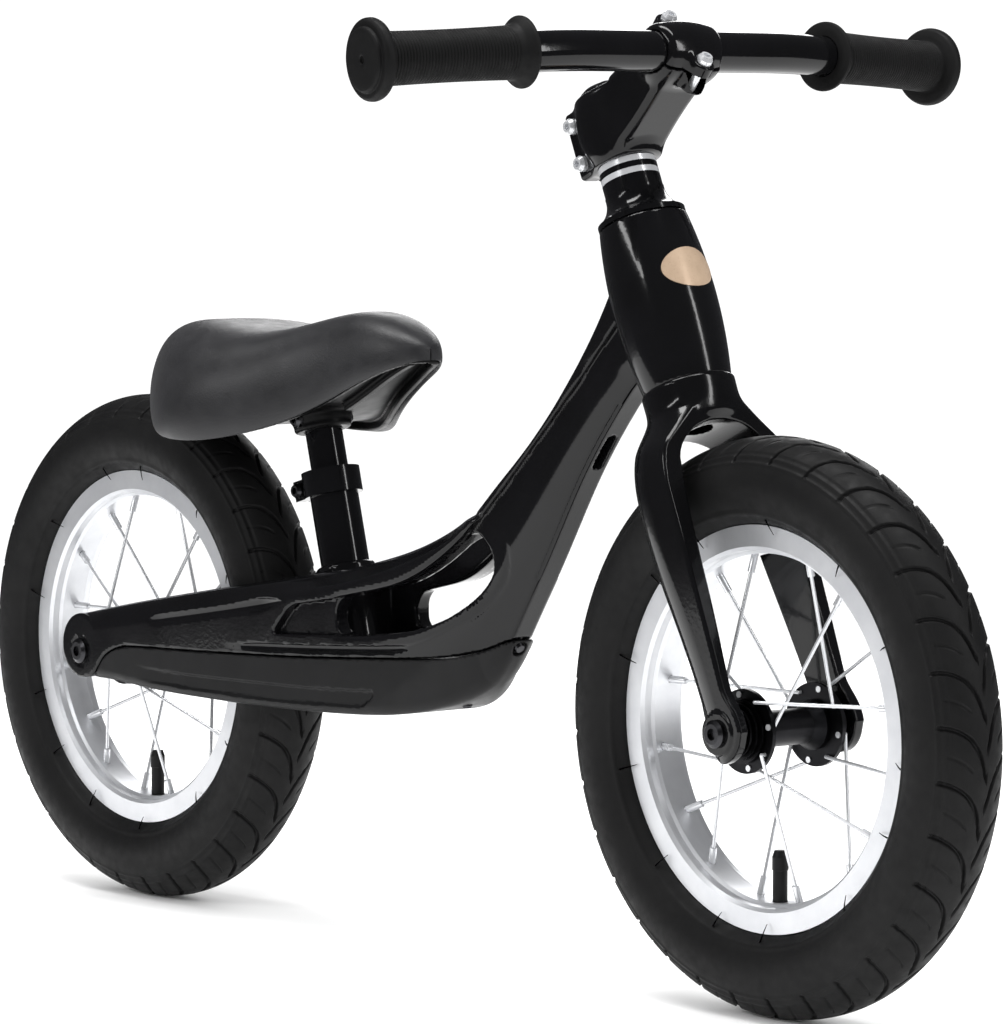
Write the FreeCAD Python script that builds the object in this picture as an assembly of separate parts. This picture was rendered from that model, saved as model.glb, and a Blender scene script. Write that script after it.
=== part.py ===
import FreeCAD, Part

import math
import os

V = FreeCAD.Vector
os.makedirs("parts", exist_ok=True)

# Child's balance bike, in millimetres.  +X is forward, +Y is the rider's left and +Z is up.
# The origin is on the ground, half way between the two axles.

# ---- driving dimensions ----
WHEEL_RADIUS = 155.0
WHEELBASE = 570.0
STEER_LEAN = math.radians(23.0)      # steering axis, back from vertical, through the front axle
SEAT_LEAN = math.radians(15.0)       # seat tube, back from vertical
SEAT_BASE = V(-93.0, 0, 214.0)       # where the seat tube leaves the frame casting
GAP = 0.3                            # between faces of pieces that move past each other
RUN = 0.05                           # radial clearance of a running fit

# wheels
TYRE_SECTION_R = 25.75
TYRE_WALL = 4.4
TUBE_SECTION_R = 19.0
TUBE_RING_R = 127.0
RIM_R = 108.5
RIM_HALF = 14.75
RIM_WELL_R = 93.0
SPOKE_COUNT = 16
SPOKE_R = 1.0
SPOKE_RING_R = 19.6
SPOKE_START = 258.75
FLANGE_Y = 25.0
FLANGE_HALF = 1.2
FLANGE_R = 22.5
HUB_END = 27.0
HUB_BARREL_R = 9.75
BEARING_SEAT_R = 11.0
BEARING_INNER_Y = 20.0
AXLE_R = 5.0
AXLE_BOLT_R = 3.0
AXLE_BOLT_HEAD_R = 7.5
VALVE_R = 4.0
VALVE_CAP_R = 4.4

# steering
CROWN_TOP = 192.0                    # distances along the steering axis, from the front axle
CROWN_JOIN = 179.0                   # the round crown stands on the legs here
HEAD_LOW = 192.7
HEAD_HIGH = 288.2
HEAD_END_R = 24.4
HEAD_MID_R = 28.5
STEERER_R = 12.7
STEERER_WALL = 2.0
CUP_R = 20.5
CUP_DEPTH = 10.0
HEAD_BEARING_R = 18.0
COVER_TOP = 306.0
SPACER_R = 16.2
STEM_LOW = 323.0
STEM_HIGH = 364.0
FORK_INNER = 38.0                    # dropout faces, half distances
FORK_OUTER = 46.0

# handlebar
BAR_CENTRE = V(203.0, 0, 513.0)
BAR_R = 11.1
BAR_WALL = 1.8
BAR_STRAIGHT = 60.0
BAR_END = V(188.0, 205.0, 506.5)
GRIP_LENGTH = 99.0
BAR_RECESS = 4.0                     # from the grip's outer end to the end of the bar inside it
BEND_REACH = 20.0                    # from each end of the bar's bend to its corner
GRIP_R = 13.8
CLAMP_NORMAL = V(0.615, 0, 0.788)
CLAMP_R = 15.6
CLAMP_HALF = 19.0
CLAMP_TANGENT = V(-0.788, 0, 0.615)
CLAMP_BOLT_OFFSET = 18.5
PINCH_POINTS = [(332.0, -20.5), (354.0, -20.5)]    # along the steering axis, and forward of it
PINCH_SEAT = 12.0                    # half distance of the face under the pinch bolts' heads

# frame casting
REAR_INNER = 42.0
REAR_OUTER = 57.5
REAR_SEAT = 57.0                     # spot faces under the rear axle bolts
BEAM_WALL = 14.0
WELL_FRONT = -124.0                  # front face of the space for the rear tyre
WELL_HALF = 33.0
BRIDGE_FRONT = -84.0
COVER_WALL = 2.5
# side views, as (x, z): the line between casting and cover, and the window's edges
SPLIT_LINE = [(-262, 152), (-237, 161.5), (-150, 164), (-50, 169), (32, 174), (70, 187)]
WINDOW_TOP = [(-53, 202.5), (-30, 207), (-3, 213.5), (23, 226), (37, 235.5), (51, 247)]
WINDOW_FRONT = (66, 228)
WINDOW_LOW = [(52, 206), (32, 196), (8, 188), (-17, 184), (-53, 181)]
# plan view of one side of the frame, as (x, half width)
HALF_WIDTHS = [(-330, REAR_OUTER), (-285, REAR_OUTER), (-200, 54.0), (-130, 47.0), (-60, 38.0), (0, 30.0),
               (60, 22.0), (130, 16.0), (230, 15.0)]

# seat
SEAT_TUBE_R = 14.3
SEAT_TUBE_LOW = -50.0
SEAT_TUBE_HIGH = 60.0
POST_R = 11.0
POST_LOW = -32.0
POST_HIGH = 104.0
COLLAR_R = 17.3
COLLAR_HEIGHT = 15.0
SADDLE_BOLT_ALONG = 91.0             # height of the saddle's side bolts along the post
# x, half width, crown height and lower edge height of the saddle
SADDLE_STATIONS = [(-241, 22, 343, 317), (-230, 40, 353.5, 307), (-205, 61, 358, 295.5), (-170, 74, 357, 290.5),
                   (-135, 69, 357, 292), (-100, 48, 362, 302), (-65, 32.5, 366.5, 317), (-38, 24.5, 362.5, 330),
                   (-18, 12, 353.5, 338)]

FRONT_AXLE = V(WHEELBASE / 2, 0, WHEEL_RADIUS)
REAR_AXLE = V(-WHEELBASE / 2, 0, WHEEL_RADIUS)
STEER_UP = V(-math.sin(STEER_LEAN), 0, math.cos(STEER_LEAN))
STEER_FORWARD = V(math.cos(STEER_LEAN), 0, math.sin(STEER_LEAN))
SEAT_UP = V(-math.sin(SEAT_LEAN), 0, math.cos(SEAT_LEAN))
SEAT_FORWARD = V(math.cos(SEAT_LEAN), 0, math.sin(SEAT_LEAN))
LEFT = V(0, 1, 0)


# ---- helpers ----
def steer(along, left=0.0, forward=0.0):
    """A point in the frame of the steering axis."""
    return FRONT_AXLE + STEER_UP * along + LEFT * left + STEER_FORWARD * forward


def seat(along, left=0.0, forward=0.0):
    """A point in the frame of the seat tube."""
    return SEAT_BASE + SEAT_UP * along + LEFT * left + SEAT_FORWARD * forward


def rod(radius, start, end):
    direction = end - start
    return Part.makeCylinder(radius, direction.Length, start, direction)


def pipe(inner, outer, start, end):
    return rod(outer, start, end).cut(rod(inner, start, end))


def turned(profile, origin, direction):
    """A ring or disc turned about an axis, from (radius, distance along the axis) points."""
    points = [V(radius, 0, along) for radius, along in profile]
    face = Part.Face(Part.makePolygon(points + points[:1]))
    solid = face.revolve(V(0, 0, 0), V(0, 0, 1), 360)
    solid.Placement = FreeCAD.Placement(origin, FreeCAD.Rotation(V(0, 0, 1), direction))
    return solid


def spline(points):
    curve = Part.BSplineCurve()
    curve.interpolate(points)
    return curve.toShape()


def line(start, end):
    return Part.LineSegment(start, end).toShape()


def arc(start, middle, end):
    return Part.Arc(start, middle, end).toShape()


def side(points, left=0.0):
    """Points of a side view, given as (x, z)."""
    return [V(x, left, z) for x, z in points]


def plan(points, height=0.0):
    """Points of a plan view, given as (x, y)."""
    return [V(x, y, height) for x, y in points]


def slab(edges, direction):
    """A solid swept both ways from a closed outline, half the direction's length each way."""
    face = Part.Face(Part.Wire(edges))
    face.translate(direction * -0.5)
    return face.extrude(direction)


def polygon_slab(points, direction):
    corners = points + points[:1]
    return slab([line(a, b) for a, b in zip(corners, corners[1:])], direction)


def box(low, high):
    size = high - low
    return Part.makeBox(size.x, size.y, size.z, low)


def mirrored(shape):
    return shape.mirror(V(0, 0, 0), LEFT)


def both_sides(shape):
    return Part.makeCompound([shape, mirrored(shape)])


def united(shapes):
    return shapes[0].multiFuse(shapes[1:]).removeSplitter()


def save(name, shape):
    shape.exportStep("parts/" + name + ".step")


def socket_bolt(seat_point, outward, head_radius, head_height, shank_radius, shank_length):
    """A round-headed bolt with a hexagon socket, its head standing on seat_point."""
    top = seat_point + outward * head_height
    head = turned([(0, 0), (head_radius, 0), (head_radius, head_height * 0.55),
                   (head_radius * 0.72, head_height), (0, head_height)], seat_point, outward)
    shank = rod(shank_radius, seat_point - outward * shank_length, seat_point + outward * 0.2)
    key = turned([(0, 0), (head_radius * 0.42, 0), (head_radius * 0.42, head_height), (0, head_height)],
                 top - outward * head_height * 0.6, outward)
    return head.fuse(shank).cut(key)


# ---- wheels, made about the Y axis at the origin and then moved to their axles ----
def tyre():
    """An open ring of rubber whose two beads sit inside the rim flanges."""
    ring = WHEEL_RADIUS - TYRE_SECTION_R
    inner = TYRE_SECTION_R - TYRE_WALL
    shoulder, throat = 110.0, 111.0
    outer_y = math.sqrt(TYRE_SECTION_R ** 2 - (ring - shoulder) ** 2)
    inner_y = math.sqrt(inner ** 2 - (ring - throat) ** 2)
    bead_out, bead_in, bead_r = 12.4, 8.4, 99.4
    lip_r = RIM_R + 0.4
    left_leg = [V(throat, inner_y, 0), V(105.0, bead_in, 0), V(bead_r, bead_in, 0), V(bead_r, bead_out, 0),
                V(lip_r, bead_out, 0), V(lip_r, outer_y - 1.5, 0), V(shoulder, outer_y, 0)]
    right_leg = [V(p.x, -p.y, 0) for p in left_leg]
    edges = [line(a, b) for a, b in zip(left_leg, left_leg[1:])]
    edges.append(arc(left_leg[-1], V(WHEEL_RADIUS, 0, 0), right_leg[-1]))
    edges += [line(b, a) for a, b in zip(right_leg, right_leg[1:])][::-1]
    edges.append(arc(right_leg[0], V(ring + inner, 0, 0), left_leg[0]))
    face = Part.Face(Part.Wire(edges))
    return face.revolve(V(0, 0, 0), LEFT, 360)


def inner_tube():
    outer = Part.makeTorus(TUBE_RING_R, TUBE_SECTION_R, V(0, 0, 0), LEFT)
    return outer.cut(Part.makeTorus(TUBE_RING_R, TUBE_SECTION_R - 1.5, V(0, 0, 0), LEFT))


def spoke_lines():
    """Hub end, rim end, flange side and elbow side of every spoke."""
    lines = []
    for k in range(SPOKE_COUNT):
        flange = 1 if k % 2 == 0 else -1
        turn = 1 if k % 4 in (1, 2) else -1
        rim_angle = math.radians(SPOKE_START + k * 360 / SPOKE_COUNT)
        hub_angle = rim_angle + turn * math.radians(45)
        elbow = FLANGE_Y + turn * (FLANGE_HALF + SPOKE_R) + (1.5 if turn > 0 else -0.3)
        start = V(SPOKE_RING_R * math.cos(hub_angle), flange * elbow, SPOKE_RING_R * math.sin(hub_angle))
        end = V(RIM_WELL_R * math.cos(rim_angle), flange * 2.5, RIM_WELL_R * math.sin(rim_angle))
        lines.append((start, end, flange, turn))
    return lines


def spokes():
    """Each spoke has a head behind the flange, an elbow through its hole, and a straight blade."""
    solids = []
    for start, end, flange, turn in spoke_lines():
        across = LEFT * (-flange * turn)
        far_face = abs(abs(start.y) - FLANGE_Y) + FLANGE_HALF
        tail = start + across * (far_face + 0.7)
        head = rod(1.7, tail - across * 0.6, tail)
        solids.append(united([rod(SPOKE_R, start, tail), Part.makeSphere(SPOKE_R, start),
                              rod(SPOKE_R, start, end), head]))
    return Part.makeCompound(solids)


def nipples():
    solids = []
    for start, end, flange, turn in spoke_lines():
        inward = (start - end).normalize()
        body = rod(2.0, end - inward * 3.3, end + inward * 10.0)
        head = rod(2.8, end - inward * 4.4, end - inward * 3.1)
        thread = rod(SPOKE_R + RUN, end - inward * 0.1, end + inward * 12.0)
        solids.append(body.fuse(head).cut(thread))
    return Part.makeCompound(solids)


def rim():
    """A shallow channel with upright flanges and a raised well on its inner side."""
    half = [(RIM_R, RIM_HALF - 2.1), (RIM_R, RIM_HALF), (97.0, RIM_HALF), (95.2, 13.0), (94.6, 9.0),
            (RIM_WELL_R, 7.6)]
    inner = [(95.0, 7.4), (97.2, 10.0), (98.6, RIM_HALF - 2.1)]
    section = half + [(r, -y) for r, y in reversed(half)] + [(r, -y) for r, y in reversed(inner)] + inner
    ring = turned(section, V(0, 0, 0), LEFT)
    holes = [rod(2.15, end - (start - end).normalize() * 4.0, end + (start - end).normalize() * 4.0)
             for start, end, flange, turn in spoke_lines()]
    holes.append(rod(VALVE_R + 0.3, V(0, 0, -RIM_R), V(0, 0, -RIM_WELL_R + 5)))
    return ring.cut(holes)


def rim_tape():
    band = pipe(98.2, 98.8, V(0, -11.0, 0), V(0, 11.0, 0))
    return band.cut(rod(VALVE_R + 0.3, V(0, 0, -RIM_R), V(0, 0, -RIM_WELL_R)))


def hub():
    """Barrel with two drilled flanges and a bearing seat in each end."""
    half = [(HUB_BARREL_R, 0), (HUB_BARREL_R, 15.0), (13.5, 21.0), (13.5, FLANGE_Y - FLANGE_HALF),
            (FLANGE_R, FLANGE_Y - FLANGE_HALF), (FLANGE_R, FLANGE_Y + FLANGE_HALF),
            (13.5, FLANGE_Y + FLANGE_HALF), (13.5, HUB_END), (BEARING_SEAT_R, HUB_END),
            (BEARING_SEAT_R, BEARING_INNER_Y), (6.5, BEARING_INNER_Y)]
    section = half + [(r, -y) for r, y in reversed(half[1:])]
    body = turned(section, V(0, 0, 0), LEFT)
    holes = []
    for start, end, flange, turn in spoke_lines():
        centre = V(start.x, flange * FLANGE_Y, start.z)
        holes.append(rod(SPOKE_R + 0.3, centre - LEFT * 2, centre + LEFT * 2))
    return body.cut(holes)


def hub_bearings():
    return both_sides(pipe(AXLE_R + RUN, BEARING_SEAT_R, V(0, BEARING_INNER_Y, 0), V(0, HUB_END, 0)))


def valve():
    stem = rod(VALVE_R, V(0, 0, -107.7), V(0, 0, -76.0))
    return stem.fuse(turned([(0, 0), (6.5, 0), (6.5, 1.0), (0, 3.0)], V(0, 0, -107.7), V(0, 0, 1)))


def valve_cap():
    return turned([(0, 0), (VALVE_CAP_R, 0), (VALVE_CAP_R, 7.0), (3.2, 10.5), (0, 10.5)],
                  V(0, 0, -75.9), V(0, 0, 1))


def axle(half_length):
    bar = rod(AXLE_R, V(0, -half_length, 0), V(0, half_length, 0))
    bore = rod(AXLE_BOLT_R + RUN, V(0, half_length - 22, 0), V(0, half_length, 0))
    return bar.cut([bore, mirrored(bore)])


def axle_spacers(outer_y):
    """A stepped, ribbed spacer between the hub and the frame or fork on each side."""
    inner_y = HUB_END + GAP
    rib_count = 4
    pitch = (outer_y - inner_y) / rib_count
    profile = [(AXLE_R + RUN, 0)]
    for i in range(rib_count):
        rib_r = 17.0 - 1.7 * i
        low = pitch * i
        profile += [(rib_r, low), (rib_r, low + pitch * 0.55), (rib_r - 3.0, low + pitch * 0.6),
                    (rib_r - 3.0, low + pitch)]
    profile.append((AXLE_R + RUN, outer_y - inner_y))
    return both_sides(turned(profile, V(0, inner_y, 0), LEFT))


def axle_bolts(face_y):
    return both_sides(socket_bolt(V(0, face_y, 0), LEFT, AXLE_BOLT_HEAD_R, 3.4, AXLE_BOLT_R, 20.0))


def save_wheel(prefix, centre):
    pieces = {"tyre": tyre(), "inner_tube": inner_tube(), "rim_tape": rim_tape(), "rim": rim(),
              "hub": hub(), "hub_bearings": hub_bearings(), "spokes": spokes(), "spoke_nipples": nipples(),
              "valve": valve(), "valve_cap": valve_cap()}
    for name, shape in pieces.items():
        shape.translate(centre)
        save(prefix + "_" + name, shape)


def save_axle(prefix, centre, inner_y, outer_y):
    pieces = {"axle": axle(outer_y - 0.5), "axle_spacers": axle_spacers(inner_y),
              "axle_bolts": axle_bolts(outer_y)}
    for name, shape in pieces.items():
        shape.translate(centre)
        save(prefix + "_" + name, shape)


# ---- frame casting ----
def head_barrel(extra=0.0):
    """The swollen head tube, turned about the steering axis; extra makes it fatter."""
    low, high = steer(HEAD_LOW), steer(HEAD_HIGH)
    middle = steer((HEAD_LOW + HEAD_HIGH) / 2, 0, HEAD_MID_R + extra)
    front_low = steer(HEAD_LOW, 0, HEAD_END_R + extra)
    front_high = steer(HEAD_HIGH, 0, HEAD_END_R + extra)
    edges = [line(low, front_low), arc(front_low, middle, front_high), line(front_high, high),
             line(high, low)]
    return Part.Face(Part.Wire(edges)).revolve(low, STEER_UP, 360)


def half_widths(inset=0.0):
    """Plan view of the frame's left side: it spreads from the nose to the rear axle."""
    return [(x, y - inset) for x, y in HALF_WIDTHS]


def spread(inset, front=230.0):
    """A tall solid with the frame's plan outline, cut off at the front."""
    left = half_widths(inset)
    left_points = plan(left, 270.0)
    right_points = plan([(x, -y) for x, y in left], 270.0)
    edges = [spline(left_points), line(left_points[-1], right_points[-1]),
             spline(right_points[::-1]), line(right_points[0], left_points[0])]
    block = slab(edges, V(0, 0, 400))
    return block.common(box(V(-400, -100, 0), V(front, 100, 500)))


def casting_side():
    """Side view of the casting: down tube, arms and the rounded ends at the rear axle."""
    top = side([(176, 405), (146, 362), (114, 321), (75, 281), (29, 247), (-27, 225), (-84, 213),
                (-164, 200), (-285, 178)])
    end = [top[-1], V(-304.5, 0, 158.5), V(-285, 0, 139)]
    low = side([(-285, 139), (-273, 141)])
    split = side([(-273, 141)] + SPLIT_LINE)
    front = side([(70, 187), (95, 225), (130, 280), (166, 324)])
    head = side([(166, 324), (200, 345), (176, 405)])
    edges = [spline(top), arc(*end), line(*low), spline(split), spline(front),
             line(head[0], head[1]), line(head[1], head[2])]
    return slab(edges, LEFT * 140)


def nose_bevels():
    """Two long wedges that narrow the front of the down tube to its front face."""
    low, high = V(60, 0, 170), V(200, 0, 375)
    run = high - low
    back = V(-run.z, 0, run.x).normalize()
    corners = [(-6.0, 5.0), (60.0, 39.0), (60.0, 80.0), (-6.0, 80.0)]
    points = [low + back * depth + LEFT * half for depth, half in corners]
    wedge = Part.Face(Part.makePolygon(points + points[:1])).extrude(run)
    return [wedge, mirrored(wedge)]


def window():
    """The opening between the upper arm and the lower rail."""
    top = side(WINDOW_TOP)
    low = side(WINDOW_LOW)
    front = [top[-1], V(WINDOW_FRONT[0], 0, WINDOW_FRONT[1]), low[0]]
    edges = [spline(top), arc(*front), spline(low), line(low[-1], top[0])]
    return slab(edges, LEFT * 140)


def side_recess():
    """A shallow panel behind the window, on the left side."""
    outline = side([(-53, 203), (-89, 197), (-103, 181), (-53, 181)])
    panel = polygon_slab(outline, LEFT * 140)
    return panel.cut(spread(4.0)).common(box(V(-110, 0, 170), V(-50, 100, 210)))


def main_frame():
    casting = casting_side().common(spread(0.0)).cut(nose_bevels())
    hollow = spread(BEAM_WALL, 44.0)
    bridge = box(V(WELL_FRONT, -60, 120), V(BRIDGE_FRONT, 60, 260))
    ahead = hollow.cut(bridge)
    recess = side_recess()
    casting = casting.cut([ahead, window(), recess, mirrored(recess)])
    slot = steer_slot()
    barrel = head_barrel()
    casting = united([casting, barrel]).cut([slot, head_bore()])
    rear_hole = rod(AXLE_R + RUN, REAR_AXLE - LEFT * 80, REAR_AXLE + LEFT * 80)
    spot = rod(AXLE_BOLT_HEAD_R + 1.5, REAR_AXLE + LEFT * REAR_SEAT, REAR_AXLE + LEFT * 80)
    return casting.cut([rear_hole, spot, mirrored(spot), rod(SEAT_TUBE_R, seat(-60), seat(80)),
                        cover_screws()])


def steer_slot():
    """The drain slot in the front face of the down tube."""
    low, high = V(133, 0, 286), V(148, 0, 304)
    inward = V(-0.77, 0, 0.64)
    width = 4.0
    ends = [rod(width, p - inward * 12, p + inward * 6) for p in (low, high)]
    bar = polygon_slab([low - inward * 12, high - inward * 12, high + inward * 6, low + inward * 6],
                       LEFT * width * 2)
    return united(ends + [bar])


def head_bore():
    """The steerer's passage and the two seats of the headset cups."""
    return united([rod(17.0, steer(HEAD_LOW - 1), steer(HEAD_HIGH + 1)),
                   rod(CUP_R, steer(HEAD_LOW - 1), steer(HEAD_LOW + CUP_DEPTH)),
                   rod(CUP_R, steer(HEAD_HIGH - CUP_DEPTH), steer(HEAD_HIGH + 1))])


def head_cup(mouth, inward):
    """A pressed-in cup; mouth is its open end and inward points into the head tube."""
    return turned([(CUP_R, 0), (CUP_R, CUP_DEPTH), (14.5, CUP_DEPTH), (14.5, CUP_DEPTH - 2.0),
                   (HEAD_BEARING_R, CUP_DEPTH - 2.0), (HEAD_BEARING_R, 0)], mouth, inward)


def head_badge():
    """A plain oval badge that follows the front of the head tube."""
    middle = steer(252.0, 0, HEAD_MID_R)
    oval = Part.Ellipse(V(0, 0, 0), 17.0, 11.5).toShape()
    face = Part.Face(Part.Wire([oval]))
    stamp = face.extrude(V(0, 0, 24))
    turn = FreeCAD.Rotation(LEFT, STEER_UP, STEER_FORWARD, "ZXY")
    stamp.Placement = FreeCAD.Placement(middle - STEER_FORWARD * 12, turn)
    return head_barrel(0.6).cut(head_barrel(0.05)).common(stamp)


# ---- plastic footrest cover under the frame ----
def cover_outline(rise, top_rise):
    """Closed side view of the cover; rise lifts its floor and top_rise its upper edge."""
    low = [(66, 180), (56, 168), (40, 154), (20, 143.5), (-5, 138), (-60, 134.5), (-130, 134),
           (-226, 137), (-272, 139.5)]
    floor_edge = side([(x, z + rise) for x, z in low])
    upper = side([(x, z - 0.8 + top_rise) for x, z in SPLIT_LINE])
    return [spline(floor_edge), line(floor_edge[-1], upper[0]), spline(upper), line(upper[-1], floor_edge[0])]


def footrest_cover():
    """A thin tray, open at the top, with a tail along each side of the rear tyre."""
    outer = slab(cover_outline(0.0, 0.0), LEFT * 140).common(spread(0.2, 69.0)).cut(nose_bevels())
    outer = outer.cut(box(V(-400, -WELL_HALF, 100), V(WELL_FRONT, WELL_HALF, 300)))
    core = slab(cover_outline(COVER_WALL, 8.0), LEFT * 140).common(spread(COVER_WALL, 60.0))
    thinner = [bevel.copy() for bevel in nose_bevels()]
    for bevel in thinner:
        bevel.translate(V(-COVER_WALL * 1.2, 0, COVER_WALL * 0.8))
    core = core.cut(thinner + [box(V(-400, -WELL_HALF - COVER_WALL, 100),
                                   V(WELL_FRONT + COVER_WALL, WELL_HALF + COVER_WALL, 300))])
    core = core.common(box(V(-250, -100, 100), V(100, 100, 300)))
    tray = outer.cut(core)
    return tray.cut(cover_screws())


def cover_screw_places():
    """Head position and inward direction of each cover screw."""
    nose = [(V(67.0, 0, 180.5), V(-0.8, 0, 0.6))]
    floor_screws = [(V(x, y, z), V(0, 0, 1)) for x, y, z in
                    ((20, 0, 143.6), (-95, 0, 134.0), (-250, 45, 138.2), (-250, -45, 138.2))]
    return nose + floor_screws


def cover_screws():
    solids = []
    for place, inward in cover_screw_places():
        shank = rod(1.8, place - inward * 0.2, place + inward * 10)
        head = turned([(0, 0), (3.4, 0), (2.6, 1.6), (0, 1.6)], place + inward * 0.4, inward * -1)
        solids.append(shank.fuse(head))
    return Part.makeCompound(solids)


# ---- fork ----
def fork_front_view():
    """Crown and legs seen along the forward direction, as a slab."""
    outer = [(CROWN_TOP, 24.0), (180, 26.5), (165, 37.0), (148, 44.5), (125, 46.0), (60, FORK_OUTER),
             (16, FORK_OUTER)]
    inner = [(16, FORK_INNER), (60, 36.5), (120, 34.0), (146, 31.5)]
    left_outer = [steer(s, y) for s, y in outer]
    left_inner = [steer(s, y) for s, y in inner]
    right_outer = [steer(s, -y) for s, y in outer]
    right_inner = [steer(s, -y) for s, y in inner]
    foot = [steer(-20, FORK_OUTER), steer(-20, FORK_INNER)]
    foot_right = [steer(-20, -FORK_OUTER), steer(-20, -FORK_INNER)]
    edges = [spline(left_outer), line(left_outer[-1], foot[0]), line(foot[0], foot[1]),
             line(foot[1], left_inner[0]), spline(left_inner),
             arc(left_inner[-1], steer(168.5), right_inner[-1]),
             spline(right_inner[::-1]), line(right_inner[0], foot_right[1]),
             line(foot_right[1], foot_right[0]), line(foot_right[0], right_outer[-1]),
             spline(right_outer[::-1]), line(right_outer[0], left_outer[0])]
    return slab(edges, STEER_FORWARD * 90)


def fork_side_view():
    """Crown, legs and round dropouts seen from the side, as a slab."""
    front = [(CROWN_TOP, 24.0), (178, 20.5), (155, 15.5), (120, 14.0), (60, 13.6), (11, 12.0)]
    back = [(11, -12.0), (60, -14.6), (110, -19.0), (145, -18.0), (178, -20.5), (CROWN_TOP, -24.0)]
    front_points = [steer(s, 0, n) for s, n in front]
    back_points = [steer(s, 0, n) for s, n in back]
    edges = [spline(front_points), arc(front_points[-1], steer(-16.3), back_points[0]),
             spline(back_points), line(back_points[-1], front_points[0])]
    return slab(edges, LEFT * 120)


def fork():
    """Two legs that spread from a round crown."""
    body = fork_front_view().common(fork_side_view())
    above = box(V(-60, -60, 0), V(60, 60, 40))
    above.Placement = FreeCAD.Placement(steer(CROWN_JOIN), FreeCAD.Rotation(V(0, 0, 1), STEER_UP))
    crown = turned([(0, 0), (20.0, 0), (22.0, 6.0), (24.0, 14.0), (24.0, 21.0), (0, 21.0)],
                   steer(CROWN_TOP - 21.0), STEER_UP)
    holes = [rod(AXLE_R + RUN, FRONT_AXLE - LEFT * 60, FRONT_AXLE + LEFT * 60),
             rod(STEERER_R, steer(CROWN_TOP - 20.0), steer(CROWN_TOP + 1))]
    return body.cut(above).fuse(crown).cut(holes)


# ---- headset and stem ----
def steerer_tube():
    return pipe(STEERER_R - STEERER_WALL, STEERER_R, steer(172), steer(STEM_HIGH - 2))


def crown_race():
    return turned([(STEERER_R, 0), (17.0, 0), (17.0, 1.5), (14.5, 3.0), (STEERER_R, 3.0)],
                  steer(CROWN_TOP), STEER_UP)


def headset_top_cover():
    """A concave cone from the head tube's diameter to the spacers'."""
    low, high = HEAD_HIGH + GAP, COVER_TOP
    points = [steer(low, 0, HEAD_END_R), steer(low + 3.0, 0, HEAD_END_R), steer(low + 7, 0, 19.6),
              steer(high, 0, SPACER_R + 0.3)]
    inner = [steer(high, 0, STEERER_R), steer(low, 0, STEERER_R)]
    edges = [line(points[0], points[1]), arc(points[1], points[2], points[3]), line(points[3], inner[0]),
             line(inner[0], inner[1]), line(inner[1], points[0])]
    return Part.Face(Part.Wire(edges)).revolve(steer(low), STEER_UP, 360)


def spacers(spans):
    return Part.makeCompound([turned([(STEERER_R, 0), (SPACER_R, 0), (SPACER_R, high - low),
                                      (STEERER_R, high - low)], steer(low), STEER_UP)
                              for low, high in spans])


def stem():
    """Steerer clamp with a slit behind, and an angular arm that carries the bar clamp."""
    high = BAR_CENTRE + CLAMP_TANGENT * 12.0
    low = BAR_CENTRE - CLAMP_TANGENT * 13.5
    outline = [steer(STEM_LOW, 0, -27.0), steer(STEM_LOW, 0, 17.5), steer(STEM_LOW + 14, 0, 27.0),
               low - CLAMP_NORMAL * 2.0, low, high, high - CLAMP_NORMAL * 9.0,
               steer(STEM_HIGH, 0, 15.4), steer(STEM_HIGH, 0, -27.0)]
    body = polygon_slab(outline, LEFT * 36)
    waist = [(-27.0, 11.0), (-14.0, 17.8), (14.0, 17.8), (34.0, 15.0), (50.0, 18.0), (90.0, 18.0)]
    left = [steer(300, y, n) for n, y in waist]
    right = [steer(300, -y, n) for n, y in reversed(waist)]
    corners = left + right
    face = Part.Face(Part.makePolygon(corners + corners[:1]))
    body = body.common(face.extrude(STEER_UP * 140))
    clamp = rod(CLAMP_R, BAR_CENTRE - LEFT * CLAMP_HALF, BAR_CENTRE + LEFT * CLAMP_HALF)
    boss = [rod(5.6, BAR_CENTRE + CLAMP_TANGENT * t - CLAMP_NORMAL * 10.0, BAR_CENTRE + CLAMP_TANGENT * t)
            for t in (CLAMP_BOLT_OFFSET, -CLAMP_BOLT_OFFSET)]
    body = united([body, clamp] + boss)
    beyond = cut_half(0.8)
    slit = box(V(-40, -1.0, 0), V(0, 1.0, 70))
    slit.Placement = FreeCAD.Placement(steer(310), FreeCAD.Rotation(V(0, 0, 1), STEER_UP))
    bolt_holes = [rod(2.6, steer(s, -30, n), steer(s, 30, n)) for s, n in PINCH_POINTS]
    bolt_holes += [rod(5.0, steer(s, -30, n), steer(s, -PINCH_SEAT, n)) for s, n in PINCH_POINTS]
    plate_holes = [rod(2.6, p - CLAMP_NORMAL * 20, p + CLAMP_NORMAL * 10) for p in faceplate_bolt_points()]
    bores = [rod(STEERER_R, steer(300), steer(400)),
             rod(BAR_R + RUN, BAR_CENTRE - LEFT * 40, BAR_CENTRE + LEFT * 40)]
    return body.cut([beyond, slit] + bolt_holes + plate_holes + bores)


def cut_half(offset):
    """Everything past the bar clamp's split plane, moved by offset along the clamp's normal."""
    corners = [BAR_CENTRE + CLAMP_NORMAL * (n - offset) + CLAMP_TANGENT * t
               for n, t in ((0, -60), (60, -60), (60, 60), (0, 60))]
    return polygon_slab(corners, LEFT * 120)


def faceplate_bolt_points():
    return [BAR_CENTRE + CLAMP_TANGENT * t for t in (CLAMP_BOLT_OFFSET, -CLAMP_BOLT_OFFSET)]


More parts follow.
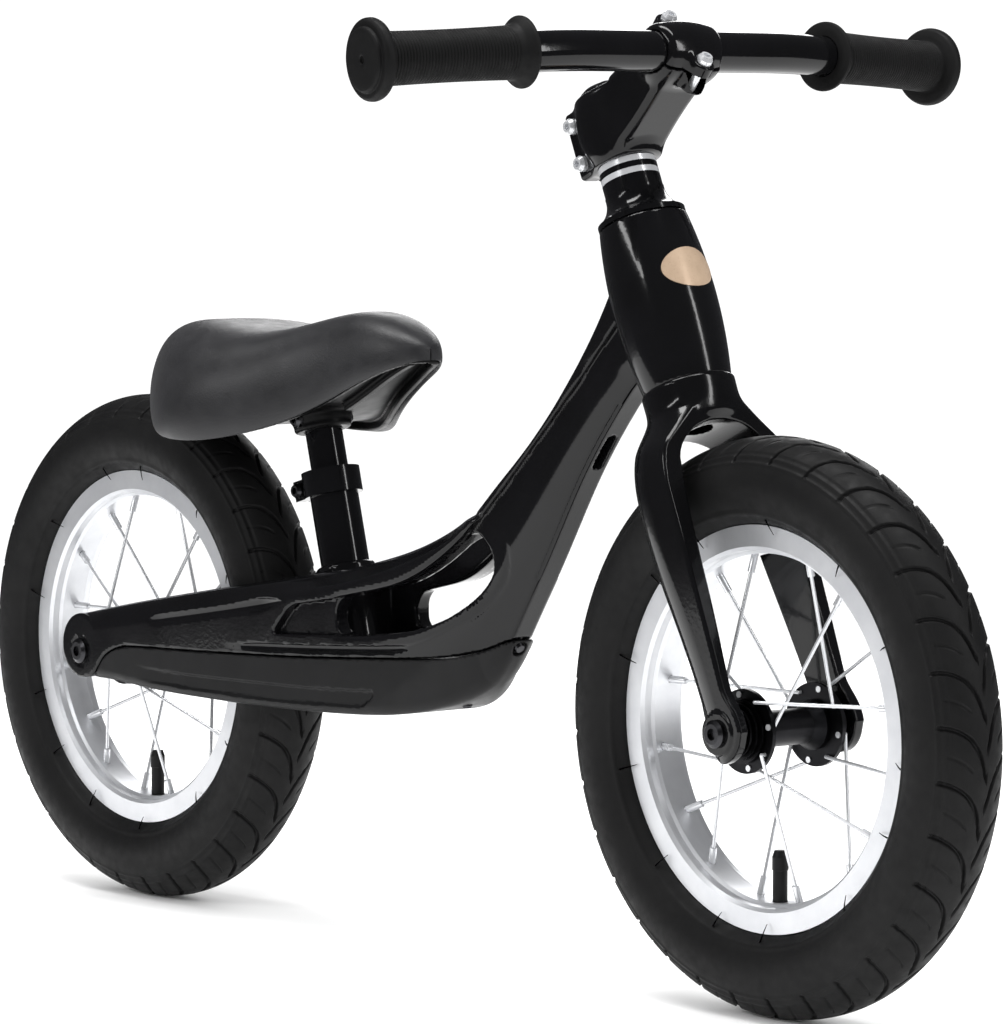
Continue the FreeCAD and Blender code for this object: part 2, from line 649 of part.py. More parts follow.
def stem_faceplate():
    cap = rod(CLAMP_R, BAR_CENTRE - LEFT * CLAMP_HALF, BAR_CENTRE + LEFT * CLAMP_HALF)
    lugs = [rod(6.2, p, p + CLAMP_NORMAL * 7.0) for p in faceplate_bolt_points()]
    webs = [polygon_slab([BAR_CENTRE + CLAMP_TANGENT * t * s, BAR_CENTRE + CLAMP_TANGENT * t * s
                          + CLAMP_NORMAL * 7.0, BAR_CENTRE + CLAMP_NORMAL * 7.0, BAR_CENTRE], LEFT * 12.4)
            for s, t in ((1, CLAMP_BOLT_OFFSET), (-1, CLAMP_BOLT_OFFSET))]
    body = united([cap] + lugs + webs).common(cut_half(-0.8))
    holes = [rod(2.6, p - CLAMP_NORMAL * 5, p + CLAMP_NORMAL * 12) for p in faceplate_bolt_points()]
    return body.cut([rod(BAR_R + RUN, BAR_CENTRE - LEFT * 40, BAR_CENTRE + LEFT * 40)] + holes)


def faceplate_bolts():
    return Part.makeCompound([socket_bolt(p + CLAMP_NORMAL * 7.0, CLAMP_NORMAL, 4.3, 4.6, 2.5, 18.0)
                              for p in faceplate_bolt_points()])


def stem_pinch_bolts():
    return Part.makeCompound([socket_bolt(steer(s, -PINCH_SEAT, n), LEFT * -1, 4.4, 4.8, 2.5, 22.0)
                              for s, n in PINCH_POINTS])


def stem_top_cap():
    return turned([(3.1, 0), (15.0, 0), (15.0, 2.2), (12.5, 4.2), (3.1, 4.2)], steer(STEM_HIGH), STEER_UP)


def top_cap_bolt():
    return socket_bolt(steer(STEM_HIGH + 4.2), STEER_UP, 4.6, 3.2, 2.9, 26.0)


# ---- handlebar ----
def bar_bend():
    """Direction of the swept part and the point where its arc ends, on the left side."""
    start = V(BAR_CENTRE.x, BAR_STRAIGHT, BAR_CENTRE.z)
    corner = start + LEFT * BEND_REACH
    direction = (BAR_END - corner).normalize()
    arc_end = corner + direction * BEND_REACH
    half_turn = math.acos(direction.y) / 2
    radius = BEND_REACH / math.tan(half_turn)
    chord_middle = (start + arc_end) * 0.5
    middle = chord_middle + (corner - chord_middle).normalize() * radius * (1 - math.cos(half_turn))
    return start, middle, arc_end, direction


def handlebar():
    start, middle, arc_end, direction = bar_bend()
    left_edges = [arc(start, middle, arc_end), line(arc_end, BAR_END - direction * BAR_RECESS)]
    right_edges = [edge.mirror(V(0, 0, 0), LEFT) for edge in left_edges]
    centre = line(V(start.x, -start.y, start.z), start)
    path = Part.Wire(Part.__sortEdges__(left_edges + right_edges + [centre]))
    tip = BAR_END - direction * BAR_RECESS
    tip = V(tip.x, -tip.y, tip.z)
    along = V(-direction.x, direction.y, -direction.z)
    shells = []
    for radius in (BAR_R, BAR_R - BAR_WALL):
        circle = Part.Wire([Part.Circle(tip, along, radius).toShape()])
        shells.append(path.makePipeShell([circle], True, False))
    return shells[0].cut(shells[1])


def grip():
    """Left grip: ringed sleeve, conical inner collar and a stepped, closed outer end."""
    start, middle, arc_end, direction = bar_bend()
    inner_end = BAR_END - direction * GRIP_LENGTH
    profile = [(BAR_R + RUN, 0), (16.0, 0), (18.7, 1.2), (18.7, 3.4), (16.5, 5.5), (GRIP_R + 0.8, 9.0)]
    ring_count = 18
    first, last = 10.0, 88.0
    pitch = (last - first) / ring_count
    for i in range(ring_count):
        base = first + pitch * i
        profile += [(GRIP_R, base), (GRIP_R, base + pitch * 0.45), (GRIP_R - 0.6, base + pitch * 0.55),
                    (GRIP_R - 0.6, base + pitch * 0.9)]
    profile += [(GRIP_R + 0.6, last), (21.0, last + 3.0), (21.8, last + 4.5), (21.8, last + 7.5),
                (20.5, last + 9.0), (15.0, last + 9.6), (15.0, last + 11.0), (3.0, last + 11.0),
                (3.0, last + 10.0), (0, last + 10.0), (0, last + 8.2), (BAR_R + RUN, last + 8.2)]
    return turned(profile, inner_end - direction * 0.2, direction)


# ---- seat ----
def seat_tube():
    wall = pipe(POST_R + RUN, SEAT_TUBE_R, seat(SEAT_TUBE_LOW), seat(SEAT_TUBE_HIGH))
    slit = box(V(-30, -1.0, 0), V(0, 1.0, 24))
    slit.Placement = FreeCAD.Placement(seat(SEAT_TUBE_HIGH - 20), FreeCAD.Rotation(V(0, 0, 1), SEAT_UP))
    return wall.cut(slit)


def seat_clamp():
    low, high = SEAT_TUBE_HIGH - COLLAR_HEIGHT, SEAT_TUBE_HIGH
    ring = rod(COLLAR_R, seat(low), seat(high))
    ears = box(V(-27.0, -8.0, 1.5), V(0, 8.0, COLLAR_HEIGHT - 1.5))
    slit = box(V(-40, -1.2, -1), V(0, 1.2, COLLAR_HEIGHT + 1))
    for piece in (ears, slit):
        piece.Placement = FreeCAD.Placement(seat(low), FreeCAD.Rotation(V(0, 0, 1), SEAT_UP))
    body = united([ring, ears])
    middle = (low + high) / 2
    return body.cut([slit, rod(SEAT_TUBE_R, seat(low - 1), seat(high + 1)),
                     rod(2.6, seat(middle, -20, -21.5), seat(middle, 20, -21.5))])


def seat_clamp_bolt():
    middle = SEAT_TUBE_HIGH - COLLAR_HEIGHT / 2
    return socket_bolt(seat(middle, -8.0, -21.5), LEFT * -1, 4.6, 4.4, 2.5, 15.5)


def seat_post():
    return pipe(POST_R - 1.8, POST_R, seat(POST_LOW), seat(POST_HIGH))


def saddle_loft(inset, top_drop, skirt, ends):
    """A domed solid through the saddle's stations, made smaller by the insets.

    A skirt carries the dome's sides straight down below the lower edge.
    """
    wires = []
    first, last = ends
    for x, half, top, base in SADDLE_STATIONS[first:last]:
        w = half - inset
        crown = top - top_drop
        rise = crown - base
        foot = w * 0.9
        arch = spline([V(x, -foot, base), V(x, -w, base + rise * 0.35), V(x, -w * 0.55, crown - rise * 0.12),
                       V(x, 0, crown), V(x, w * 0.55, crown - rise * 0.12), V(x, w, base + rise * 0.35),
                       V(x, foot, base)])
        left, right = V(x, foot, base - skirt), V(x, -foot, base - skirt)
        wires.append(Part.Wire([arch, line(V(x, foot, base), left), line(left, right),
                                line(right, V(x, -foot, base))]))
    return Part.makeLoft(wires, True, False)


def saddle_padding():
    return saddle_loft(0.0, 0.0, 0.1, (0, 9)).cut(saddle_loft(5.0, 22.0, 30.0, (1, 8)))


def saddle_base():
    """The saddle's hard shell and the socket that takes the post."""
    shell = saddle_loft(5.4, 22.4, 0.1, (1, 8)).cut(saddle_loft(8.4, 25.4, 30.0, (2, 7)))
    low, high = 84.0, POST_HIGH + 6.0
    inside = saddle_loft(6.5, 24.0, 40.0, (1, 8))
    socket = rod(17.0, seat(low), seat(high + 20)).common(inside)
    rib = box(V(-38, -5.0, 0), V(34, 5.0, 40))
    rib.Placement = FreeCAD.Placement(seat(high - 4), FreeCAD.Rotation(V(0, 0, 1), SEAT_UP))
    body = united([shell, socket, rib.common(inside)])
    bolt_hole = rod(2.6, seat(SADDLE_BOLT_ALONG, -30), seat(SADDLE_BOLT_ALONG, 30))
    return body.cut([rod(POST_R, seat(low - 1), seat(POST_HIGH)), bolt_hole])


def saddle_bolts():
    return both_sides(socket_bolt(seat(SADDLE_BOLT_ALONG, 17.0), LEFT, 4.6, 4.0, 2.5, 5.8))


# ---- export ----
save_wheel("front", FRONT_AXLE)
save_wheel("rear", REAR_AXLE)
save_axle("front", FRONT_AXLE, FORK_INNER, FORK_OUTER)
save_axle("rear", REAR_AXLE, REAR_INNER, REAR_SEAT)

save("main_frame", main_frame())
save("head_badge", head_badge())
save("footrest_cover", footrest_cover())
save("cover_screws", cover_screws())
save("upper_head_cup", head_cup(steer(HEAD_HIGH), STEER_UP * -1))
save("lower_head_cup", head_cup(steer(HEAD_LOW), STEER_UP))
save("upper_head_bearing", pipe(STEERER_R + RUN, HEAD_BEARING_R, steer(HEAD_HIGH - CUP_DEPTH + 2.0),
                                steer(HEAD_HIGH - 1.0)))
save("lower_head_bearing", pipe(STEERER_R + RUN, HEAD_BEARING_R, steer(CROWN_TOP + 3.0 + GAP),
                                steer(HEAD_LOW + CUP_DEPTH - 2.0)))
save("seat_tube", seat_tube())
save("seat_clamp", seat_clamp())
save("seat_clamp_bolt", seat_clamp_bolt())

save("fork", fork())
save("steerer_tube", steerer_tube())
save("crown_race", crown_race())
save("headset_top_cover", headset_top_cover())
save("headset_spacers_black", spacers([(COVER_TOP, 313.0), (316.3, 319.7)]))
save("headset_spacers_silver", spacers([(313.0, 316.3), (319.7, STEM_LOW)]))
save("stem", stem())
save("stem_faceplate", stem_faceplate())
save("faceplate_bolts", faceplate_bolts())
save("stem_pinch_bolts", stem_pinch_bolts())
save("stem_top_cap", stem_top_cap())
save("top_cap_bolt", top_cap_bolt())

save("handlebar", handlebar())
save("left_grip", grip())
save("right_grip", mirrored(grip()))

save("seat_post", seat_post())
save("saddle_base", saddle_base())
save("saddle_padding", saddle_padding())
save("saddle_bolts", saddle_bolts())
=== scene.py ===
import math

import bpy
import numpy as np
from mathutils import Matrix, Vector


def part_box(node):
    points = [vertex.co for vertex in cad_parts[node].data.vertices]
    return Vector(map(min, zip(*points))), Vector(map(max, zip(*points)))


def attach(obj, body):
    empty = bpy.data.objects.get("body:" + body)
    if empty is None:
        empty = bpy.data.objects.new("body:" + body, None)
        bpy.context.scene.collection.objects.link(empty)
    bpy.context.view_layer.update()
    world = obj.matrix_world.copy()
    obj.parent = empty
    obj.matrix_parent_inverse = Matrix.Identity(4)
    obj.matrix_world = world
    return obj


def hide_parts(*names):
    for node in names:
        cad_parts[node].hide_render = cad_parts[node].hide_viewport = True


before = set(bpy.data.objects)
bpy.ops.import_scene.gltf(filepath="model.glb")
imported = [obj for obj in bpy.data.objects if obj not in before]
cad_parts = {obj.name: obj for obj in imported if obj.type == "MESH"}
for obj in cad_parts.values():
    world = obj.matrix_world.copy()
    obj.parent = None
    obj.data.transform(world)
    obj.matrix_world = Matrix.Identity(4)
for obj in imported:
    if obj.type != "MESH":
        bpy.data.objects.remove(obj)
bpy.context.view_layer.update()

# Everything below is in millimetres, in the row frame, until a mesh is made: +X is forward,
# +Y is the rider's left and +Z is up.
MM = 0.001


def centre(node):
    low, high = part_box(node)
    return np.array((low + high) * 0.5) / MM


FRONT_AXLE = centre("front_tyre")
REAR_AXLE = centre("rear_tyre")
WHEEL_R = (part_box("rear_tyre")[1].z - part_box("rear_tyre")[0].z) * 0.5 / MM
# how far the steering axis and the seat tube lean back from upright
HEAD_ANGLE, SEAT_ANGLE = math.radians(23.0), math.radians(15.0)
STEER_SIN, STEER_COS = math.sin(HEAD_ANGLE), math.cos(HEAD_ANGLE)
SEAT_SIN, SEAT_COS = math.sin(SEAT_ANGLE), math.cos(SEAT_ANGLE)
SEAT_BASE = np.array([-93.0, 0.0, 214.0])
COARSE = 1.0
SLAB = 32
SETTLE_STEPS = 4


# ---- implicit surfaces: a field is negative inside the solid and close to a distance in mm ----
def rmax(a, b, r=0.0):
    """Intersection of two fields, its edge rounded to radius r."""
    if r <= 0:
        return np.maximum(a, b)
    return np.minimum(np.maximum(a, b), -r) + np.hypot(np.maximum(a + r, 0), np.maximum(b + r, 0))


def rmin(a, b, r=0.0):
    """Union of two fields, the corner between them filled to radius r."""
    return -rmax(-a, -b, r)


def smooth(low, high, q):
    t = np.clip((q - low) / (high - low), 0, 1)
    return t * t * (3 - 2 * t)


class Curve:
    """A natural cubic spline through (distance, height) points, straight beyond its ends."""

    def __init__(self, points):
        self.x, self.y = np.array(points, float).T
        self.h = np.diff(self.x)
        d = np.diff(self.y) / self.h
        n = len(self.x)
        a, r = np.eye(n), np.zeros(n)
        for i in range(1, n - 1):
            a[i, i - 1], a[i, i], a[i, i + 1] = self.h[i - 1], 2 * (self.h[i - 1] + self.h[i]), self.h[i]
            r[i] = 6 * (d[i] - d[i - 1])
        self.m = np.linalg.solve(a, r)

    def both(self, q):
        """Height and slope."""
        q = np.asarray(q, float)
        c = np.clip(q, self.x[0], self.x[-1])
        i = np.clip(np.searchsorted(self.x, c) - 1, 0, len(self.h) - 1)
        h, m0, m1 = self.h[i], self.m[i], self.m[i + 1]
        u, v = c - self.x[i], self.x[i + 1] - c
        y0, y1 = self.y[i], self.y[i + 1]
        value = (m0 * v ** 3 + m1 * u ** 3) / (6 * h)
        value = value + (y0 / h - m0 * h / 6) * v + (y1 / h - m1 * h / 6) * u
        slope = (m1 * u ** 2 - m0 * v ** 2) / (2 * h) + (y1 - y0) / h - (m1 - m0) * h / 6
        return value + slope * (q - c), slope

    def __call__(self, q):
        return self.both(q)[0]

    def over(self, q, height):
        """Signed distance above the line."""
        value, slope = self.both(q)
        return (height - value) / np.sqrt(1 + slope ** 2)


CORNERS = [(i, j, k) for i in (0, 1) for j in (0, 1) for k in (0, 1)]
EDGES = [(a, b) for a in range(8) for b in range(a + 1, 8)
         if sum(abs(p - q) for p, q in zip(CORNERS[a], CORNERS[b])) == 1]


def gradient(field, p, h):
    """Central differences of the field at the points p."""
    g = np.empty_like(p)
    for d in range(3):
        step = np.zeros(3)
        step[d] = h
        a, b = p + step, p - step
        g[:, d] = (field(a[:, 0], a[:, 1], a[:, 2]) - field(b[:, 0], b[:, 1], b[:, 2])) / (2 * h)
    return g


def surface(name, field, low, high, cell, body, material):
    """A mesh on the field's zero surface: one vertex in each cell that the surface crosses."""
    cell = cell * COARSE
    axes = [np.arange(a, b + cell, cell) for a, b in zip(low, high)]
    shape = tuple(len(a) for a in axes)
    value = np.empty(shape, np.float32)
    for i in range(0, shape[0], SLAB):
        part = np.ix_(axes[0][i:i + SLAB], axes[1], axes[2])
        value[i:i + SLAB] = field(*part)
    inside = value < 0
    count = np.zeros(tuple(s - 1 for s in shape), np.int8)
    for i, j, k in CORNERS:
        count += inside[i:shape[0] - 1 + i, j:shape[1] - 1 + j, k:shape[2] - 1 + k]
    active = np.argwhere((count > 0) & (count < 8))
    ids = np.full(count.shape, -1, np.int32)
    ids[tuple(active.T)] = np.arange(len(active))
    at = np.stack([value[tuple((active + c).T)] for c in CORNERS])
    total, crossings = np.zeros((len(active), 3)), np.zeros(len(active))
    for a, b in EDGES:
        va, vb = at[a].astype(float), at[b].astype(float)
        hit = (va < 0) != (vb < 0)
        t = np.where(hit, va / np.where(hit, va - vb, 1), 0)
        ca, cb = np.array(CORNERS[a], float), np.array(CORNERS[b], float)
        total += (ca + t[:, None] * (cb - ca)) * hit[:, None]
        crossings += hit
    p = np.array([a[0] for a in axes]) + (active + total / crossings[:, None]) * cell
    # damped steps along the field's gradient settle the vertices on the surface itself
    anchor = p.copy()
    for _ in range(SETTLE_STEPS):
        g = gradient(field, p, 0.25 * cell)
        f = field(p[:, 0], p[:, 1], p[:, 2])
        move = -g * (f / np.maximum((g ** 2).sum(1), 0.15))[:, None]
        p = p + np.clip(move, -0.5 * cell, 0.5 * cell)
        p = anchor + np.clip(p - anchor, -cell, cell)
    # one four-sided face round each grid edge that the surface cuts
    faces = []
    for d in range(3):
        u, v = (d + 1) % 3, (d + 2) % 3
        lo = [slice(None)] * 3
        hi = [slice(None)] * 3
        lo[d], hi[d] = slice(0, shape[d] - 1), slice(1, shape[d])
        for w in (u, v):
            lo[w] = hi[w] = slice(1, shape[w] - 1)
        first, second = inside[tuple(lo)], inside[tuple(hi)]
        for flip in (False, True):
            where = np.argwhere(first & ~second if not flip else ~first & second)
            where[:, u] += 1
            where[:, v] += 1
            du, dv = np.eye(3, dtype=int)[u], np.eye(3, dtype=int)[v]
            ring = [where - du - dv, where - dv, where, where - du]
            quad = np.stack([ids[tuple(r.T)] for r in ring], 1)
            faces.append(quad[:, ::-1] if flip else quad)
    faces = np.concatenate(faces)
    faces = faces[(faces >= 0).all(1)]
    g = gradient(field, p, 0.12 * cell)
    normals = g / np.maximum(np.linalg.norm(g, axis=1), 1e-9)[:, None]
    return made(name, p, faces, normals, body, material)


def made(name, points, faces, normals, body, material):
    """A mesh object from arrays in mm, riding on a body."""
    mesh = bpy.data.meshes.new(name)
    faces = np.asarray(faces, np.int32)
    sides = faces.shape[1]
    mesh.vertices.add(len(points))
    mesh.vertices.foreach_set("co", (np.asarray(points) * MM).astype(np.float32).ravel())
    mesh.loops.add(faces.size)
    mesh.loops.foreach_set("vertex_index", faces.ravel())
    mesh.polygons.add(len(faces))
    mesh.polygons.foreach_set("loop_start", np.arange(0, faces.size, sides, dtype=np.int32))
    mesh.update(calc_edges=True)
    mesh.validate()
    mesh.polygons.foreach_set("use_smooth", np.ones(len(mesh.polygons), bool))
    if normals is not None and len(normals) == len(mesh.vertices):
        mesh.normals_split_custom_set_from_vertices(normals.astype(np.float32))
    mesh.materials.append(material)
    piece = bpy.data.objects.new(name, mesh)
    bpy.context.scene.collection.objects.link(piece)
    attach(piece, body)
    print(name, len(mesh.polygons) * (sides - 2), "triangles")
    return piece


def grid_faces(i, following, j, columns):
    """The four-sided faces between rows i and following of a grid, at its columns j."""
    a, b = i * columns + j, following * columns + j
    return np.stack([a, b, b + 1, a + 1], -1).reshape(-1, 4)


def sheet_of(name, point, us, vs, closed_u, body, material, eps=0.05, extra=None):
    """A mesh over a grid of (u, v), with normals from the point function's own slopes.

    Extra is more points, four-sided faces and normals for the same mesh.
    """
    u, v = np.meshgrid(us, vs, indexing="ij")
    p = point(u, v)
    across = point(u + eps, v) - point(u - eps, v)
    along = point(u, v + eps) - point(u, v - eps)
    n = np.cross(across, along)
    n /= np.maximum(np.linalg.norm(n, axis=-1), 1e-12)[..., None]
    rows, cols = u.shape
    i = np.arange(rows if closed_u else rows - 1)[:, None]
    j = np.arange(cols - 1)[None, :]
    nxt = (i + 1) % rows
    faces = grid_faces(i, nxt, j, cols)
    p, n = p.reshape(-1, 3), n.reshape(-1, 3)
    if extra is not None:
        faces = np.concatenate([faces, extra[1] + len(p)])
        p, n = np.concatenate([p, extra[0]]), np.concatenate([n, extra[2]])
    return made(name, p, faces, n, body, material)


# ---- materials ----
class Nodes:
    """A material's node tree, with short calls for the nodes used here."""

    def __init__(self, name):
        self.material = bpy.data.materials.new(name)
        self.material.use_nodes = True
        self.tree = self.material.node_tree
        self.bsdf = self.tree.nodes["Principled BSDF"]
        self.space = self.add("ShaderNodeTexCoord").outputs["Object"]

    def add(self, kind, **settings):
        node = self.tree.nodes.new(kind)
        for key, value in settings.items():
            setattr(node, key, value)
        return node

    def link(self, source, target):
        self.tree.links.new(source, target)

    def value(self, socket, number):
        self.bsdf.inputs[socket].default_value = number

    def noise(self, scale, detail=3.0, rough=0.5, stretch=None):
        node = self.add("ShaderNodeTexNoise")
        node.inputs["Scale"].default_value = scale
        node.inputs["Detail"].default_value = detail
        node.inputs["Roughness"].default_value = rough
        if stretch:
            mapping = self.add("ShaderNodeMapping")
            mapping.inputs["Scale"].default_value = stretch
            self.link(self.space, mapping.inputs["Vector"])
            self.link(mapping.outputs["Vector"], node.inputs["Vector"])
        else:
            self.link(self.space, node.inputs["Vector"])
        return node.outputs["Fac"]

    def cells(self, scale, feature):
        node = self.add("ShaderNodeTexVoronoi", feature=feature)
        node.inputs["Scale"].default_value = scale
        self.link(self.space, node.inputs["Vector"])
        return node.outputs["Distance"]

    def ramp(self, source, low, high, a, b):
        """Maps source from low..high to the number or colour a..b."""
        if isinstance(a, (int, float)):
            node = self.add("ShaderNodeMapRange")
            for key, number in zip(("From Min", "From Max", "To Min", "To Max"), (low, high, a, b)):
                node.inputs[key].default_value = number
            self.link(source, node.inputs["Value"])
            return node.outputs["Result"]
        node = self.add("ShaderNodeValToRGB")
        node.color_ramp.elements[0].position = low
        node.color_ramp.elements[1].position = high
        node.color_ramp.elements[0].color = (*a, 1)
        node.color_ramp.elements[1].color = (*b, 1)
        self.link(source, node.inputs["Fac"])
        return node.outputs["Color"]

    def bump(self, height, distance, strength=1.0, after=None):
        node = self.add("ShaderNodeBump")
        node.inputs["Distance"].default_value = distance
        node.inputs["Strength"].default_value = strength
        self.link(height, node.inputs["Height"])
        if after is not None:
            self.link(after, node.inputs["Normal"])
        return node.outputs["Normal"]

    def finish(self, colour=None, rough=None, normal=None):
        if colour is not None:
            self.link(colour, self.bsdf.inputs["Base Color"])
        if rough is not None:
            self.link(rough, self.bsdf.inputs["Roughness"])
        if normal is not None:
            self.link(normal, self.bsdf.inputs["Normal"])
            if self.bsdf.inputs["Coat Weight"].default_value > 0:
                self.link(normal, self.bsdf.inputs["Coat Normal"])
        return self.material


def gloss_paint(name, tone, dust=0.35):
    """Black enamel: a clear coat, a very slight orange peel and faint cloudiness in the colour."""
    m = Nodes(name)
    m.value("Metallic", 0.0)
    m.value("Specular IOR Level", 0.2)
    m.value("Coat Weight", 0.16)
    m.value("Coat Roughness", 0.04)
    dark = tuple(tone * q for q in (0.9, 0.9, 0.98))
    light = tuple(tone * q for q in (1.25, 1.25, 1.42))
    colour = m.ramp(m.noise(28.0, 4.0), 0.3, 0.7, dark, light)
    rough = m.ramp(m.noise(60.0, 3.0), 0.3, 0.75, 0.11, 0.11 + 0.13 * dust)
    normal = m.bump(m.noise(420.0, 1.0), 0.00006, 0.35)
    return m.finish(colour, rough, normal)


def moulded(name, tone, rough, shine, grain=1500.0, depth=0.00006):
    """Matt moulded plastic: fine spark-eroded grain, and slow changes of tone and sheen."""
    m = Nodes(name)
    m.value("Specular IOR Level", shine)
    dark = tuple(tone * q for q in (0.88, 0.88, 0.93))
    light = tuple(tone * q for q in (1.15, 1.15, 1.22))
    colour = m.ramp(m.noise(35.0, 5.0, 0.6), 0.3, 0.7, dark, light)
    sheen = m.ramp(m.noise(90.0, 3.0), 0.3, 0.7, rough - 0.05, rough + 0.06)
    return m.finish(colour, sheen, m.bump(m.noise(grain, 3.0, 0.6), depth, 0.7))


def rubber(name, tone, rough=0.62):
    """Moulded rubber: mottled bloom over slow waves and fine pores."""
    m = Nodes(name)
    m.value("Specular IOR Level", 0.14)
    patches = m.noise(22.0, 6.0, 0.65)
    dark = tuple(tone * q for q in (0.75, 0.75, 0.78))
    light = tuple(tone * q for q in (1.3, 1.28, 1.3))
    colour = m.ramp(patches, 0.32, 0.72, dark, light)
    sheen = m.ramp(m.noise(160.0, 4.0), 0.3, 0.7, rough - 0.1, rough + 0.08)
    fine = m.bump(m.noise(1400.0, 4.0, 0.65), 0.00009, 0.8)
    return m.finish(colour, sheen, m.bump(m.noise(140.0, 4.0), 0.00015, 0.4, fine))


def leatherette():
    """Grained leatherette: small rounded pebbles with creases between them, over faint pulls."""
    m = Nodes("saddle_leatherette")
    m.value("Specular IOR Level", 0.4)
    m.value("Sheen Weight", 0.04)
    m.value("Sheen Roughness", 0.4)
    pebbles = m.cells(950.0, "SMOOTH_F1")
    creases = m.cells(620.0, "DISTANCE_TO_EDGE")
    colour = m.ramp(m.noise(30.0, 5.0, 0.6), 0.3, 0.72, (0.010, 0.010, 0.0112), (0.0175, 0.0175, 0.0195))
    sheen = m.ramp(m.noise(120.0, 4.0), 0.3, 0.7, 0.37, 0.47)
    grain = m.bump(pebbles, 0.00012, 0.45)
    grain = m.bump(m.ramp(creases, 0.0, 0.12, 0.0, 1.0), 0.00005, 0.5, grain)
    return m.finish(colour, sheen, m.bump(m.noise(70.0, 3.0), 0.0002, 0.35, grain))


def satin_metal(name, colour_low, colour_high, rough, brush=None, metallic=1.0):
    """Metal with a fine brushed or blasted grain."""
    m = Nodes(name)
    m.value("Metallic", metallic)
    colour = m.ramp(m.noise(45.0, 5.0, 0.6), 0.3, 0.7, colour_low, colour_high)
    grain = m.noise(380.0 if brush else 1600.0, 3.0, 0.6, brush)
    sheen = m.ramp(grain, 0.25, 0.75, rough - 0.05, rough + 0.07)
    return m.finish(colour, sheen, m.bump(grain, 0.00003, 0.35))


def ring_distance(m, axle):
    """Distance from a wheel's axle line, in metres."""
    mapping = m.add("ShaderNodeMapping")
    mapping.inputs["Location"].default_value = tuple(-np.array(axle) * MM)
    m.link(m.space, mapping.inputs["Vector"])
    flat = m.add("ShaderNodeVectorMath", operation="MULTIPLY")
    m.link(mapping.outputs["Vector"], flat.inputs[0])
    flat.inputs[1].default_value = (1, 0, 1)
    length = m.add("ShaderNodeVectorMath", operation="LENGTH")
    m.link(flat.outputs["Vector"], length.inputs[0])
    return length.outputs["Value"]


def rim_alloy(name, axle):
    """Satin anodised rim: fine turned rings and soft mottling."""
    m = Nodes(name)
    m.value("Metallic", 0.75)
    wave = m.add("ShaderNodeTexNoise", noise_dimensions="1D")
    wave.inputs["Scale"].default_value = 3000.0
    wave.inputs["Detail"].default_value = 4.0
    m.link(ring_distance(m, axle), wave.inputs["W"])
    rings = wave.outputs["Fac"]
    colour = m.ramp(m.noise(40.0, 5.0, 0.6), 0.3, 0.72, (0.60, 0.61, 0.635), (0.70, 0.71, 0.73))
    rough = m.ramp(rings, 0.3, 0.7, 0.30, 0.42)
    normal = m.bump(rings, 0.00002, 0.4)
    return m.finish(colour, rough, m.bump(m.noise(900.0, 3.0), 0.00002, 0.3, normal))


PAINT = gloss_paint("frame_enamel", 0.0035)
FORK_PAINT = gloss_paint("fork_enamel", 0.003)
TUBE_PAINT = gloss_paint("tube_enamel", 0.003, 0.1)
COVER = moulded("cover_plastic", 0.006, 0.42, 0.16)
GRIP = rubber("grip_rubber", 0.0058, 0.60)
TYRE = rubber("tyre_rubber", 0.0062, 0.56)
TYRE_INNER = rubber("inner_rubber", 0.010, 0.66)
SADDLE = leatherette()
GLOSS_PLASTIC = moulded("gloss_plastic", 0.0035, 0.34, 0.08, 700.0, 0.00002)
HUB = satin_metal("hub_black", (0.012, 0.012, 0.013), (0.022, 0.022, 0.024), 0.36)
BRIGHT = satin_metal("bright_zinc", (0.62, 0.63, 0.65), (0.76, 0.77, 0.79), 0.22, None, 0.6)
SPOKE = satin_metal("spoke_steel", (0.60, 0.61, 0.63), (0.72, 0.73, 0.75), 0.18, (1.0, 1.0, 1.0), 0.6)
DARK_STEEL = satin_metal("dark_steel", (0.03, 0.03, 0.033), (0.06, 0.06, 0.064), 0.30)
VALVE = rubber("valve_rubber", 0.008, 0.42)
BADGE = satin_metal("badge_foil", (0.38, 0.27, 0.185), (0.50, 0.37, 0.26), 0.30, None, 0.25)
HEADSET_SILVER = satin_metal("spacer_silver", (0.66, 0.67, 0.69), (0.80, 0.81, 0.83), 0.20, None, 0.5)
RIMS = {w: rim_alloy(w + "_rim_alloy", a) for w, a in (("front", FRONT_AXLE), ("rear", REAR_AXLE))}

CAD_FINISH = {
    TUBE_PAINT: ["seat_tube", "seat_post", "handlebar"],
    PAINT: ["seat_clamp"],
    FORK_PAINT: ["steerer_tube", "headset_top_cover", "headset_spacers_black", "stem_top_cap"],
    HUB: ["front_hub", "rear_hub", "front_axle_spacers", "rear_axle_spacers"],
    BRIGHT: ["front_hub_bearings", "rear_hub_bearings", "front_spoke_nipples", "rear_spoke_nipples",
             "stem_pinch_bolts", "faceplate_bolts", "upper_head_cup", "lower_head_cup",
             "upper_head_bearing", "lower_head_bearing"],
    HEADSET_SILVER: ["headset_spacers_silver"],
    SPOKE: ["front_spokes", "rear_spokes"],
    DARK_STEEL: ["front_axle", "rear_axle", "front_axle_bolts", "rear_axle_bolts", "cover_screws",
                 "seat_clamp_bolt", "saddle_bolts", "crown_race", "top_cap_bolt"],
    VALVE: ["front_valve", "front_valve_cap", "rear_valve", "rear_valve_cap"],
    TYRE_INNER: ["front_inner_tube", "rear_inner_tube", "front_rim_tape", "rear_rim_tape"],
    BADGE: ["head_badge"],
    RIMS["front"]: ["front_rim"],
    RIMS["rear"]: ["rear_rim"],
}
for finish, names in CAD_FINISH.items():
    for name in names:
        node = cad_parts[name]
        for k in range(len(node.material_slots)):
            node.material_slots[k].material = finish


